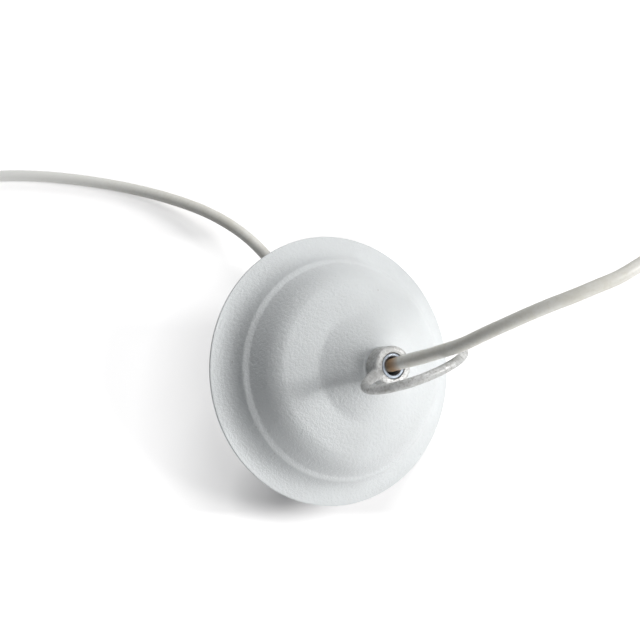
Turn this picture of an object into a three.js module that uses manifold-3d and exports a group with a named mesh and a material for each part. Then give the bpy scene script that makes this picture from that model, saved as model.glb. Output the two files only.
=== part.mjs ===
// A pendant lamp's ceiling canopy with its hanging loop and flex, lying tilted on a table.
// Millimetres, +Z up. The table is z = 0 and the canopy's middle stands over the origin.
import * as THREE from 'three';
import { mergeVertices } from 'three/addons/utils/BufferGeometryUtils.js';
import Module from 'manifold-3d';

const wasm = await Module();
wasm.setup();

// ---- Driving dimensions ----

const gap = 0.3; // left between pieces that touch

// How the canopy lies: it leans on the lowest point of its rim
const lean = THREE.MathUtils.degToRad(29.5);
const turn = THREE.MathUtils.degToRad(-18.5);

// Canopy dish, pressed from sheet. Heights are measured along its axis from the rim.
const sheet = 1;
const rimRadius = 57.5;
const flangeTopRadius = 47.1; // where the hollow flange meets the bead
const flangeTopHeight = 7.9;
const wallFootRadius = 44.45; // where the bead meets the wall
const wallFootHeight = 10.9;
const wallTopRadius = 41.6;
const wallTopHeight = 17;
const crownRadius = 35.2;
const crownHeight = 24;
const shoulderRadius = 23.6;
const shoulderHeight = 28.2;
const neckFootRadius = 21.6;
const neckFootHeight = 29.2;
const neckTopRadius = 12.6;
const neckTopHeight = 35.9;
const seatRadius = 8.8;
const seatHeight = 39.6;

// Threaded tube through the canopy's middle
const tubeRadius = 5;
const tubeBore = 3.75;
const tubeLength = 28;
const threadGap = 0.3; // between the tube and what is screwed or slipped on it

// Hanging loop, one casting: a collar on the tube and an oval ring across it
const collarRadius = 8;
const collarLength = 8;
const tubeRecess = 0.25; // how far the tube's end stays below the collar's face
const ringHalfWidth = 20.65;
const ringHalfHeight = 17.05;
const ringRod = 1.9;
const ringRise = 14; // from the collar's face to the ring's middle
const ringTurn = THREE.MathUtils.degToRad(-135.8);
const ringTip = THREE.MathUtils.degToRad(4.6);
const ringRootDepth = 1.1; // how deep the ring's ends are sunk in the collar's side

// Washers and nuts on the tube
const washerRadius = 7.5;
const washerThickness = 1;
const toothedRadius = 7.8;
const toothedThickness = 0.8;
const nutFlats = 14;
const nutThickness = 3.7;

// Ceiling bracket, a hat-shaped strip that holds the canopy against a ceiling
const stripWidth = 18;
const stripThickness = 1.5;
const topHalfLength = 10.5;
const footStart = 29;
const footEnd = 44;
const slotLength = 11;
const slotWidth = 5;
const bracketTurn = THREE.MathUtils.degToRad(48);

// Cord grip on the tube's lower end, with its clamping screw
const gripRadius = 7.5;
const gripLength = 12.5;
const gripFloor = 6; // the solid end around the flex, below the tube
const gripScrewRadius = 2;
const gripScrewHead = 3;
const gripScrewHeadLength = 2.4;

// Earth screw in one leg of the bracket, with its cup washer and nut
const earthScrewRadius = 2;
const earthHeadRadius = 3.6;
const earthHeadLength = 2.4;
const earthScrewLength = 10;
const cupRadius = 4.5;
const cupThickness = 1;
const earthNutFlats = 7;
const earthNutThickness = 3;
const earthPlace = 0.48; // how far down the leg it sits

// Flex: a round three-core cord
const flexRadius = 2.65;
const flexSides = 10;
const coreRadius = 1.15;
const corePitch = 8;

// Coil of the flex that is put away, wound beside itself and on itself
const coilMiddle = new THREE.Vector2(186, -19.7);
const coilRadius = 30;
const coilTurnsAcross = 3;
const coilTurnsUp = 2;
const tieThickness = 0.8;
const tieWidth = 9;

// Terminal block on the mains end
const blockLength = 20;
const blockHeight = 12;
const blockWall = 1.6;
const tunnelRadius = 2.6;
const tunnelBore = 1.7;
const tunnelLength = 16;
const terminalScrewRadius = 1.3;
const terminalScrewLength = 4.6;
const terminalScrewPlace = 4.6; // from the middle of the block, each way

// Lampholder, lying on its shade ring and its cap. Its own heights run from its mouth.
const skirtRadius = 19.5;
const skirtWall = 2.4;
const skirtLength = 40;
const shadeRingRadius = 24;
const shadeRingPlace = 16;
const shadeRingPlate = 2;
const shadeRingLength = 7;
const shellRadius = 14.3;
const shellWall = 0.5;
const shellStart = 5;
const shellLength = 23;
const insertThickness = 8;
const contactRadius = 4.5;
const contactThickness = 0.8;
const capLength = 20;
const holderGripRadius = 6.5;
const holderGripLength = 12;
const holderEntry = new THREE.Vector2(190, 80); // where the flex enters it, over the table
const holderTurn = 0; // its axis runs along +X from the flex to its mouth

// Routes of the flex, point by point
const mainsRoute = [
  [5.7, -1.9, 39.8], [2.0, 1.2, 33.5], [-2.0, 6.0, 28.0], [-6.0, 11.9, 23.8], [-9.8, 18.5, 20.7],
  [-13.4, 25.5, 18.7], [-17.0, 32.8, 17.4], [-20.7, 40.0, 16.7], [-24.7, 47.1, 16.0],
  [-29.2, 53.9, 15.3], [-34.3, 60.2, 14.3], [-44.0, 69.4, 12.1], [-58.2, 78.9, 9.2],
  [-78.0, 87.7, 5.6], [-100.7, 94.3, 3.1], [-123.1, 98.1, 2.65], [-143.1, 99.8, 2.65],
  [-160.0, 99.6, 2.65], [-176.0, 97.5, 2.65],
];
const lampRoute = [
  [22.6, -7.0, 71.1], [26.9, -7.0, 76.7], [30.9, -7.0, 81.6], [35.0, -6.8, 86.4], [38.8, -6.4, 90.5],
  [42.5, -6.0, 94.3], [46.5, -5.3, 98.1], [53.4, -3.1, 104.3], [60.7, -0.7, 109.4], [68.0, 1.9, 113.2],
  [75.4, 4.5, 115.9], [83.4, 7.3, 117.6], [91.2, 10.5, 118.2], [99.4, 14.1, 117.7],
  [107.3, 19.0, 116.0], [119.1, 27.6, 110.9], [131.8, 37.6, 100.6], [142.4, 45.3, 86.8],
  [151.6, 49.8, 70.8], [160.0, 50.7, 53.7], [168.5, 47.8, 36.9], [178.1, 40.9, 21.9],
  [188.9, 30.6, 10.4], [200.1, 18.5, 4.8],
];
const tailRoute = [
  [150.8, 0.5, 7.2], [151.0, 10.0, 5.4], [151.3, 20.0, 3.6], [151.8, 30.0, 2.8], [153.0, 40.0, 2.65],
  [155.6, 50.0, 3.0], [160.2, 59.4, 4.4], [166.8, 67.8, 7.0], [174.6, 74.8, 10.4], [182.6, 78.9, 13.3],
  [189.6, 80.0, 14.9],
];

// ---- Materials ----

const finish = (color, roughness, metalness) => ({ color, roughness, metalness });
const whitePaint = finish(0xe9eaec, 0.42, 0);
const zinc = finish(0xb9bcc0, 0.38, 1);
const brass = finish(0xb79a58, 0.35, 1);
const sheath = finish(0xd9d5cb, 0.5, 0);
const whitePlastic = finish(0xe4e2dc, 0.45, 0);
const blockPlastic = finish(0xd8d6d0, 0.5, 0);
const ceramic = finish(0xf0eee9, 0.3, 0);
const coreFinishes = {
  brown: finish(0x6b3f24, 0.5, 0),
  blue: finish(0x2f62a8, 0.5, 0),
  earth: finish(0x6f9a2f, 0.5, 0),
};

// ---- Helpers ----

const v2 = (x, y) => new THREE.Vector2(x, y);
const points3 = (list) => list.map((p) => new THREE.Vector3(...p));

function piece(name, geometry, look) {
  const mesh = new THREE.Mesh(geometry, new THREE.MeshStandardMaterial(look));
  mesh.name = name;
  return mesh;
}

// A body of revolution about +Z from a closed outline of [radius, height] pairs
function turned(outline, segments = 32) {
  const profile = outline.map(([radius, height]) => v2(radius, height));
  if (profile[0].x > 0 || profile.at(-1).x > 0) profile.push(profile[0].clone());
  return new THREE.LatheGeometry(profile, segments).rotateX(Math.PI / 2);
}

// A flat ring with its lower face at z
const ring = (outer, inner, z, thickness, segments = 32) => turned(
  [[inner, z], [outer, z], [outer, z + thickness], [inner, z + thickness]],
  segments,
);

const rod = (radius, z, length, segments = 20) => new THREE.CylinderGeometry(radius, radius, length, segments)
  .rotateX(Math.PI / 2)
  .translate(0, 0, z + length / 2);

// A tube's solid along a curve, with a round section
function roundBar(curve, radius, sides, steps) {
  const section = new THREE.Shape(
    Array.from({ length: sides }, (_, i) => {
      const angle = (i / sides) * 2 * Math.PI;
      return v2(radius * Math.cos(angle), radius * Math.sin(angle));
    }),
  );
  return new THREE.ExtrudeGeometry(section, { steps, bevelEnabled: false, extrudePath: curve });
}

function toSolid(geometry) {
  const bare = geometry.clone();
  bare.deleteAttribute('normal');
  bare.deleteAttribute('uv');
  const merged = mergeVertices(bare, 1e-4);
  return new wasm.Manifold(new wasm.Mesh({
    numProp: 3,
    vertProperties: Float32Array.from(merged.attributes.position.array),
    triVerts: Uint32Array.from(merged.index.array),
  }));
}

function toGeometry(solid) {
  const mesh = solid.getMesh();
  const geometry = new THREE.BufferGeometry();
  geometry.setAttribute('position', new THREE.BufferAttribute(mesh.vertProperties, 3));
  geometry.setIndex(new THREE.BufferAttribute(mesh.triVerts, 1));
  geometry.computeVertexNormals();
  return geometry;
}

function join(first, ...others) {
  return toGeometry(others.reduce((sum, next) => sum.add(toSolid(next)), toSolid(first)));
}

function cut(first, ...tools) {
  return toGeometry(tools.reduce((rest, tool) => rest.subtract(toSolid(tool)), toSolid(first)));
}

// ---- Places along the canopy's axis, from the rim up ----

const collarFoot = seatHeight + gap;
const collarFace = collarFoot + collarLength;
const tubeTop = collarFace - tubeRecess;
const tubeFoot = tubeTop - tubeLength;
const washerFoot = seatHeight - sheet - gap - washerThickness;
const toothedFoot = washerFoot - gap - toothedThickness;
const nutFoot = toothedFoot - gap - nutThickness;
const stripFoot = nutFoot - gap - stripThickness;
const lowerToothedFoot = stripFoot - gap - toothedThickness;
const lowerNutFoot = lowerToothedFoot - gap - nutThickness;
const gripTop = lowerNutFoot - gap;
const gripEnd = gripTop - gripLength;
const ringMiddle = collarFace + ringRise;
const threadBore = tubeRadius + threadGap;

// ---- Canopy dish ----

// The outer side from the rim's edge up to the seat, as a list of points
function dishOutline(fine) {
  const rim = v2(rimRadius, 0);
  const flangeTop = v2(flangeTopRadius, flangeTopHeight);
  const wallFoot = v2(wallFootRadius, wallFootHeight);
  const wallTop = v2(wallTopRadius, wallTopHeight);
  const crown = v2(crownRadius, crownHeight);
  const shoulder = v2(shoulderRadius, shoulderHeight);
  const neckFoot = v2(neckFootRadius, neckFootHeight);
  const neckTop = v2(neckTopRadius, neckTopHeight);
  const seat = v2(seatRadius, seatHeight);
  const beside = (point, x, y) => point.clone().add(v2(x, y));
  const flange = new THREE.CubicBezierCurve(rim, beside(rim, -6.3, 0.4), beside(flangeTop, 1.4, -3.7), flangeTop);
  const bead = new THREE.CubicBezierCurve(
    flangeTop,
    beside(flangeTop, -0.5, 1.3),
    beside(wallFoot, 0.5, -1.25),
    wallFoot,
  );
  const bend = new THREE.CubicBezierCurve(wallTop, beside(wallTop, -1.6, 3.3), beside(crown, 2.2, -0.95), crown);
  const top = new THREE.QuadraticBezierCurve(crown, beside(crown, -4.7, 2.1), shoulder);
  const dip = new THREE.QuadraticBezierCurve(shoulder, beside(neckFoot, 1, -0.7), neckFoot);
  const collarDip = new THREE.CubicBezierCurve(neckTop, beside(neckTop, -1.4, 1.05), beside(seat, 0.9, -1.2), seat);
  const stretches = [[flange, 6, 4], [bead, 5, 3], [bend, 4, 3], [top, 4, 2], [dip, 2, 1], [collarDip, 3, 2]];
  const outline = stretches.flatMap(([curve, many, few]) => curve.getPoints(fine ? many : few));
  return outline.filter((point, i) => i === 0 || point.distanceTo(outline[i - 1]) > 0.01);
}

// The same outline moved inward by the sheet's thickness, at right angles to itself
function insideOf(outline) {
  return outline.map((point, i) => {
    const before = outline[Math.max(i - 1, 0)];
    const after = outline[Math.min(i + 1, outline.length - 1)];
    const along = after.clone().sub(before).normalize();
    return v2(point.x - along.y * sheet, point.y + along.x * sheet);
  });
}

function canopyDish() {
  const outside = dishOutline(true);
  const inside = insideOf(dishOutline(false));
  inside[0].set(rimRadius, -sheet);
  inside[inside.length - 1].set(seatRadius - 0.4, seatHeight - sheet);
  const outline = [
    ...outside.map((p) => [p.x, p.y]),
    [threadBore, seatHeight],
    [threadBore, seatHeight - sheet],
    ...inside.reverse().map((p) => [p.x, p.y]),
  ];
  return piece('canopy_dish', turned(outline, 56), whitePaint);
}

// ---- Hanging loop ----

class OvalArc extends THREE.Curve {
  constructor(start) {
    super();
    this.start = start;
  }

  getPoint(t, target = new THREE.Vector3()) {
    const angle = this.start + t * (Math.PI - 2 * this.start);
    return target.set(ringHalfWidth * Math.cos(angle), 0, ringHalfHeight * Math.sin(angle));
  }
}

function hangingLoop() {
  const chamfer = 0.4;
  const collar = turned([
    [threadBore - 1, collarFoot],
    [collarRadius - chamfer, collarFoot],
    [collarRadius, collarFoot + chamfer],
    [collarRadius, collarFace - chamfer],
    [collarRadius - chamfer, collarFace],
    [threadBore - 1, collarFace],
  ]);
  const rootStart = -Math.acos((collarRadius - ringRootDepth) / ringHalfWidth);
  const oval = roundBar(new OvalArc(rootStart), ringRod, 12, 34);
  oval.translate(0, 0, ringMiddle - collarFoot);
  oval.rotateX(-ringTip);
  oval.translate(0, 0, collarFoot);
  oval.rotateZ(ringTurn);
  const bore = rod(threadBore, collarFoot - 1, collarLength + 2, 32);
  return piece('hanging_loop', cut(join(collar, oval), bore), whitePaint);
}

// ---- What is stacked on the tube ----

function threadedTube() {
  const chamfer = 0.5;
  return piece('threaded_tube', turned([
    [tubeBore, tubeFoot],
    [tubeRadius - chamfer, tubeFoot],
    [tubeRadius, tubeFoot + chamfer],
    [tubeRadius, tubeTop - chamfer],
    [tubeRadius - chamfer, tubeTop],
    [tubeBore, tubeTop],
  ]), zinc);
}

const flatWasher = (name, foot) => piece(name, ring(washerRadius, threadBore, foot, washerThickness), zinc);

// A washer with short teeth around its outside
function toothedWasher(name, foot) {
  const teeth = 12;
  const outline = new THREE.Shape(Array.from({ length: teeth * 4 }, (_, i) => {
    const radius = i % 4 < 2 ? toothedRadius : toothedRadius - 1;
    const angle = (i / (teeth * 4)) * 2 * Math.PI;
    return v2(radius * Math.cos(angle), radius * Math.sin(angle));
  }));
  outline.holes.push(new THREE.Path().absarc(0, 0, threadBore, 0, 2 * Math.PI, true));
  const flat = { depth: toothedThickness, bevelEnabled: false, curveSegments: 16 };
  return piece(name, new THREE.ExtrudeGeometry(outline, flat).translate(0, 0, foot), zinc);
}

// A hexagon nut with the given bore and its lower face at z
function hexNut(flats, bore, z, thickness) {
  const corner = flats / Math.sqrt(3);
  const outline = new THREE.Shape(Array.from({ length: 6 }, (_, i) => (
    v2(corner * Math.cos(i * Math.PI / 3), corner * Math.sin(i * Math.PI / 3))
  )));
  outline.holes.push(new THREE.Path().absarc(0, 0, bore, 0, 2 * Math.PI, true));
  const flat = { depth: thickness, bevelEnabled: false, curveSegments: 14 };
  return new THREE.ExtrudeGeometry(outline, flat).translate(0, 0, z);
}

// ---- Ceiling bracket and its earth screw ----

// Corners of the strip's upper side on one half, from the middle to the foot's end
const bracketCorners = [
  v2(topHalfLength, stripFoot + stripThickness),
  v2(footStart, stripThickness),
  v2(footEnd, stripThickness),
];
const legLine = bracketCorners[1].clone().sub(bracketCorners[0]);
const legDrop = Math.atan2(-legLine.y, legLine.x);

function bracketShape() {
  // The lower side stays one thickness under each stretch
  const miter = stripThickness * Math.tan(legDrop / 2);
  const upper = [...bracketCorners];
  const lower = [
    v2(bracketCorners[0].x - miter, bracketCorners[0].y - stripThickness),
    v2(bracketCorners[1].x - miter, 0),
    v2(footEnd, 0),
  ];
  const mirrored = (list) => list.map((p) => v2(-p.x, p.y));
  return new THREE.Shape([...mirrored(upper).reverse(), ...upper, ...lower.reverse(), ...mirrored(lower).reverse()]);
}

// A slot along X with round ends, cut through the feet
function footSlot(middle) {
  const straight = slotLength - slotWidth;
  const shape = new THREE.Shape();
  shape.absarc(middle - straight / 2, 0, slotWidth / 2, Math.PI / 2, 1.5 * Math.PI, false);
  shape.absarc(middle + straight / 2, 0, slotWidth / 2, -Math.PI / 2, Math.PI / 2, false);
  const through = { depth: 3 * stripThickness, bevelEnabled: false, curveSegments: 8 };
  return new THREE.ExtrudeGeometry(shape, through).translate(0, 0, -stripThickness);
}

// Puts a geometry that stands along +Z at the earth screw's place, square to the bracket's leg
function onLeg(geometry) {
  const place = bracketCorners[0].clone().addScaledVector(legLine, earthPlace);
  return geometry.rotateY(legDrop).translate(place.x, 0, place.y);
}

function ceilingBracket() {
  const strip = new THREE.ExtrudeGeometry(bracketShape(), { depth: stripWidth, bevelEnabled: false });
  strip.rotateX(Math.PI / 2).translate(0, stripWidth / 2, 0);
  const footMiddle = (footStart + footEnd) / 2;
  return piece('ceiling_bracket', cut(
    strip,
    rod(threadBore, stripFoot - stripThickness, 3 * stripThickness, 28),
    footSlot(footMiddle),
    footSlot(-footMiddle),
    onLeg(rod(earthScrewRadius + threadGap, -2 * stripThickness, 3 * stripThickness)),
  ), zinc);
}

function earthScrew() {
  const headFoot = cupThickness + 2 * gap;
  return piece('earth_screw', onLeg(turned([
    [0, headFoot - earthScrewLength],
    [earthScrewRadius, headFoot - earthScrewLength],
    [earthScrewRadius, headFoot],
    [earthHeadRadius, headFoot],
    [earthHeadRadius, headFoot + earthHeadLength / 2],
    [earthHeadRadius / 2, headFoot + earthHeadLength],
    [0, headFoot + earthHeadLength],
  ], 20)), brass);
}

const earthCup = () => piece('earth_cup_washer', onLeg(
  ring(cupRadius, earthScrewRadius + threadGap, gap, cupThickness, 24),
), brass);

const earthNut = () => piece('earth_nut', onLeg(hexNut(
  earthNutFlats,
  earthScrewRadius + threadGap,
  -stripThickness - gap - earthNutThickness,
  earthNutThickness,
)), brass);

// ---- Cord grip ----

function cordGrip() {
  const chamfer = 0.8;
  const body = turned([
    [0, gripEnd],
    [gripRadius - chamfer, gripEnd],
    [gripRadius, gripEnd + chamfer],
    [gripRadius, gripTop - chamfer],
    [gripRadius - chamfer, gripTop],
    [0, gripTop],
  ]);
  return piece('cord_grip', cut(
    body,
    rod(threadBore, tubeFoot - gap, gripLength, 28),
    rod(flexRadius + gap, gripEnd - 1, gripLength, 20),
    gripScrewBar(gripScrewRadius + gap, flexRadius, gripLength),
  ), whitePlastic);
}

// A bar across the grip's solid end, from one distance from the axis to another
const gripScrewBar = (radius, from, to) => rod(radius, from, to - from, 16)
  .rotateY(Math.PI / 2)
  .rotateZ(bracketTurn + Math.PI / 2)
  .translate(0, 0, gripEnd + gripFloor / 2);

function cordGripScrew() {
  const head = gripRadius + gap;
  return piece('cord_grip_screw', join(
    gripScrewBar(gripScrewRadius, flexRadius + gap, head + 0.5),
    gripScrewBar(gripScrewHead, head, head + gripScrewHeadLength),
  ), whitePlastic);
}

// ---- Flex ----

// The flex's tube along a route, with steps about two and a half diameters long
function flexTube(name, route) {
  const curve = new THREE.CatmullRomCurve3(points3(route), false, 'centripetal');
  const steps = Math.max(2, Math.round(curve.getLength() / (5 * flexRadius)));
  return piece(name, roundBar(curve, flexRadius, flexSides, steps), sheath);
}

// The stretch inside the grip and the tube, in the canopy's own frame. At the tube's mouth the
// flex lies against the wall that the lamp's side pulls it to.
function innerFlex() {
  const slack = tubeBore - flexRadius - gap - 0.05;
  return flexTube('flex_in_tube', [
    [0, 0, gripEnd + gap],
    [0, 0, tubeFoot + 2],
    [-0.15 * slack, 0.4 * slack, (tubeFoot + tubeTop) / 2],
    [-0.1 * slack, 0.9 * slack, tubeTop],
  ]);
}

const coilHeight = 2 * coilTurnsUp * flexRadius;
const coilHalfWidth = coilTurnsAcross * flexRadius;
const coilLift = tieThickness + gap;

function flexCoil() {
  const geometry = ring(coilRadius + coilHalfWidth, coilRadius - coilHalfWidth, coilLift, coilHeight, 40);
  return piece('flex_coil', geometry.translate(coilMiddle.x, coilMiddle.y, 0), sheath);
}

// A flat tie around the coil's bundle of turns, wide enough for the bundle's own bend
function coilTie() {
  const innerFace = Math.sqrt((coilRadius - coilHalfWidth) ** 2 - (tieWidth / 2) ** 2) - 2 * gap;
  const outerFace = coilRadius + coilHalfWidth + gap;
  const opening = outerFace - innerFace;
  const outside = new THREE.BoxGeometry(opening + 2 * tieThickness, tieWidth, coilHeight + 2 * coilLift);
  const inside = new THREE.BoxGeometry(opening, 2 * tieWidth, coilHeight + 2 * gap);
  const middle = coilLift + coilHeight / 2;
  return piece('coil_tie', cut(outside, inside).translate(
    coilMiddle.x + (innerFace + outerFace) / 2,
    coilMiddle.y,
    middle,
  ), whitePlastic);
}

// ---- Terminal block on the mains end ----

const blockWidth = 3 * corePitch;
const mainsEnd = new THREE.Vector3(...mainsRoute.at(-1));
const mainsHeading = mainsEnd.clone().sub(new THREE.Vector3(...mainsRoute.at(-2))).setZ(0).normalize();
const fanLength = 17; // from the sheath's end to the block

// The block's frame: x runs on from the flex, y across the poles, z up from the table
function blockGroup() {
  const group = new THREE.Group();
  group.rotation.z = Math.atan2(mainsHeading.y, mainsHeading.x);
  group.position.set(mainsEnd.x, mainsEnd.y, 0);
  const blockStart = fanLength;
  const blockMiddle = blockStart + blockLength / 2;
  const tunnelHeight = tunnelRadius + blockWall + gap;
  const poles = [-1, 0, 1];
  const tunnelBar = (radius, pole) => rod(radius, -tunnelLength / 2, tunnelLength, 20)
    .rotateY(Math.PI / 2)
    .translate(blockMiddle, pole * corePitch, tunnelHeight);
  const entry = (pole) => rod(tunnelBore + 0.4, -blockLength, 2 * blockLength, 16)
    .rotateY(Math.PI / 2)
    .translate(blockMiddle, pole * corePitch, tunnelHeight);
  const screwHole = (radius, pole, side, from, length) => rod(radius, from, length, 16)
    .translate(blockMiddle + side * terminalScrewPlace, pole * corePitch, 0);
  const bothSides = (pole, make) => [make(pole, -1), make(pole, 1)];

  const body = new THREE.BoxGeometry(blockLength, blockWidth, blockHeight)
    .translate(blockMiddle, 0, blockHeight / 2);
  const wells = poles.flatMap((pole) => bothSides(pole, (p, side) => (
    screwHole(terminalScrewRadius + 0.9, p, side, tunnelHeight, blockHeight))));
  const tunnels = poles.flatMap((pole) => [tunnelBar(tunnelRadius + gap, pole), entry(pole)]);
  group.add(piece('terminal_block', cut(body, ...tunnels, ...wells), blockPlastic));

  poles.forEach((pole, i) => {
    const holes = bothSides(pole, (p, side) => (
      screwHole(terminalScrewRadius + 0.15, p, side, tunnelHeight, blockHeight)));
    const bore = rod(tunnelBore, -tunnelLength, 2 * tunnelLength, 16)
      .rotateY(Math.PI / 2)
      .translate(blockMiddle, pole * corePitch, tunnelHeight);
    group.add(piece(`terminal_tunnel_${i + 1}`, cut(tunnelBar(tunnelRadius, pole), bore, ...holes), brass));
    [-1, 1].forEach((side) => {
      const tip = tunnelHeight + (side < 0 ? coreRadius * 0.7 : 0);
      const screw = screwHole(terminalScrewRadius, pole, side, tip, terminalScrewLength);
      group.add(piece(`terminal_screw_${i + 1}${side < 0 ? 'a' : 'b'}`, screw, zinc));
    });
  });

  // Cores fan out of the sheath and end in the tunnels, under the first row of screws
  const coreColors = ['brown', 'earth', 'blue'];
  poles.forEach((pole, i) => {
    const spread = 2 * (coreRadius + gap / 2) / Math.sqrt(3);
    const angle = THREE.MathUtils.degToRad([210, 90, -30][i]);
    const reach = blockMiddle - terminalScrewPlace - terminalScrewRadius - gap;
    const start = [gap, -spread * Math.cos(angle) * -1, flexRadius + spread * Math.sin(angle)];
    const route = [
      start,
      [fanLength * 0.25, start[1] + (pole * corePitch - start[1]) * 0.2, start[2] + 0.2],
      [fanLength * 0.65, pole * corePitch * 0.85, tunnelHeight * 0.92],
      [fanLength, pole * corePitch, tunnelHeight],
      [reach, pole * corePitch, tunnelHeight],
    ];
    const curve = new THREE.CatmullRomCurve3(points3(route), false, 'centripetal');
    group.add(piece(`core_${coreColors[i]}`, roundBar(curve, coreRadius, 8, 12), coreFinishes[coreColors[i]]));
  });
  return group;
}

// ---- Lampholder ----

function lampholder() {
  const skirtTop = skirtLength;
  const insertFoot = shellStart + shellLength + gap;
  const ledge = insertFoot - gap;
  const skirtInside = skirtRadius - skirtWall;
  const capFoot = skirtTop + gap;
  const capTop = capFoot + capLength;
  const gripFoot = capTop + gap;
  const holderEnd = gripFoot + holderGripLength;

  const pieces = [];
  pieces.push(piece('holder_skirt', turned([
    [skirtInside - 1.6, 0],
    [skirtRadius - 0.8, 0],
    [skirtRadius, 0.8],
    [skirtRadius, skirtTop],
    [skirtInside, skirtTop],
    [skirtInside, ledge],
    [skirtInside, ledge - 1],
    [skirtInside - 1.6, ledge - 1.6],
  ], 36), whitePlastic));
  pieces.push(piece('shade_ring', join(
    ring(skirtRadius + gap + 2, skirtRadius + gap, shadeRingPlace, shadeRingLength, 36),
    ring(shadeRingRadius, skirtRadius + gap, shadeRingPlace, shadeRingPlate, 36),
  ), whitePlastic));
  pieces.push(piece('screw_shell', turned([
    [shellRadius - shellWall, shellStart],
    [shellRadius, shellStart],
    [shellRadius, shellStart + shellLength],
    [contactRadius + 3, shellStart + shellLength],
    [contactRadius + 3, shellStart + shellLength - shellWall],
    [shellRadius - shellWall, shellStart + shellLength - shellWall],
  ], 36), brass));
  pieces.push(piece('centre_contact', rod(
    contactRadius,
    insertFoot - gap - contactThickness,
    contactThickness,
    24,
  ), brass));
  pieces.push(piece('holder_insert', rod(skirtInside - gap, insertFoot, insertThickness, 36), ceramic));
  pieces.push(piece('holder_cap', turned([
    [skirtInside - 2, insertFoot + insertThickness + gap],
    [skirtInside - gap, insertFoot + insertThickness + gap],
    [skirtInside - gap, capFoot],
    [skirtRadius, capFoot],
    [skirtRadius, capFoot + capLength * 0.3],
    [skirtRadius - 3, capFoot + capLength * 0.65],
    [skirtRadius - 8, capFoot + capLength * 0.92],
    [holderGripRadius, capTop],
    [flexRadius + gap, capTop],
    [flexRadius + gap, capTop - 3],
    [skirtRadius - 10, capTop - 4.5],
    [skirtRadius - 5.2, capFoot + capLength * 0.5],
    [skirtInside - 2, capFoot + capLength * 0.25],
  ], 36), whitePlastic));
  pieces.push(piece('holder_grip', turned([
    [flexRadius + gap, gripFoot],
    [holderGripRadius, gripFoot],
    [holderGripRadius, gripFoot + holderGripLength * 0.6],
    [holderGripRadius - 2, holderEnd],
    [flexRadius + gap, holderEnd],
  ], 28), whitePlastic));

  // It lies with its shade ring and its cap's edge on the table, so its axis dips to the flex
  const capContact = capFoot + capLength * 0.3;
  const ringContact = shadeRingPlace + shadeRingPlate;
  const dip = Math.atan((shadeRingRadius - skirtRadius) / (capContact - ringContact));
  const endHeight = shadeRingRadius * Math.cos(dip) - (holderEnd - ringContact) * Math.sin(dip);
  const group = new THREE.Group();
  const lying = new THREE.Group();
  lying.add(...pieces);
  lying.rotation.y = -Math.PI / 2 - dip;
  lying.position.set(holderEnd * Math.cos(dip), 0, endHeight + holderEnd * Math.sin(dip));
  group.add(lying);
  group.rotation.z = holderTurn;
  group.position.set(holderEntry.x, holderEntry.y, 0);
  return group;
}

// ---- Assembly ----

const canopy = new THREE.Group();
canopy.add(
  canopyDish(),
  hangingLoop(),
  threadedTube(),
  flatWasher('dish_washer', washerFoot),
  toothedWasher('dish_toothed_washer', toothedFoot),
  piece('dish_nut', hexNut(nutFlats, threadBore, nutFoot, nutThickness), zinc),
  toothedWasher('bracket_toothed_washer', lowerToothedFoot),
  piece('bracket_nut', hexNut(nutFlats, threadBore, lowerNutFoot, nutThickness), zinc),
  cordGrip(),
  cordGripScrew(),
  innerFlex(),
);
const bracket = new THREE.Group();
bracket.rotation.z = bracketTurn;
bracket.add(ceilingBracket(), earthScrew(), earthCup(), earthNut());
canopy.add(bracket);
canopy.rotation.y = lean;

const standing = new THREE.Group();
standing.add(canopy);
standing.rotation.z = turn;
standing.position.z = rimRadius * Math.sin(lean) + sheet * Math.cos(lean);

const part = new THREE.Group();
part.add(
  standing,
  flexTube('mains_flex', mainsRoute),
  flexTube('lamp_flex', lampRoute),
  flexTube('flex_tail', tailRoute),
  flexCoil(),
  coilTie(),
  blockGroup(),
  lampholder(),
);

export default part;
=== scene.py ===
# %% [markdown]
# # A pendant lamp's ceiling canopy, its hanging loop and its flex
#
# The object is the round cover that hides the wiring where a pendant lamp hangs from a ceiling. A
# threaded tube runs through its middle, a cast loop is screwed on that tube, and a round flex
# passes through both. It lies on a table, leaning on its rim. The first cell loads the engineering
# model as a fixed frame. Everything built here sits on that frame, in metres, and this lesson
# only adds the looks: shapes with soft edges, and finishes made of nodes.

# %% Load the frame
import math

import bmesh
import bpy
from mathutils import Matrix, Vector, noise


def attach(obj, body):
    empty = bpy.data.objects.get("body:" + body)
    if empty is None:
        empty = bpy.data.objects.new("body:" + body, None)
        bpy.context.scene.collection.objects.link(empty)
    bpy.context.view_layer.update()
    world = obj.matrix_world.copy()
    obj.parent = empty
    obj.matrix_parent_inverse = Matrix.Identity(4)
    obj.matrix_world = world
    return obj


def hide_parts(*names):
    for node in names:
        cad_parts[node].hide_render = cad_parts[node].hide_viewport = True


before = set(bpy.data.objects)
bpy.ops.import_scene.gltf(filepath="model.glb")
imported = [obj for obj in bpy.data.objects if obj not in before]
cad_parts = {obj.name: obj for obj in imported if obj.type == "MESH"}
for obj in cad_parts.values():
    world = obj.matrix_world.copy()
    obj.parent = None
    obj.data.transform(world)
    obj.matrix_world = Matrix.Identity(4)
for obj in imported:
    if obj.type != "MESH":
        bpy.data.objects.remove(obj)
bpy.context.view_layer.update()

# %% [markdown]
# The canopy leans, so its pieces are easiest to describe in its own upright frame: the rim is at
# height 0 and the tube is the Z axis. One matrix then lays them all down. Lengths are written in
# millimetres, as a drawing would, and the helper that makes an object turns them into metres.

# %% The canopy's own frame
MM = 0.001
RIM_RADIUS = 57.5
SHEET = 1.0
LEAN = math.radians(29.5)
TURN = math.radians(-18.5)

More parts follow.
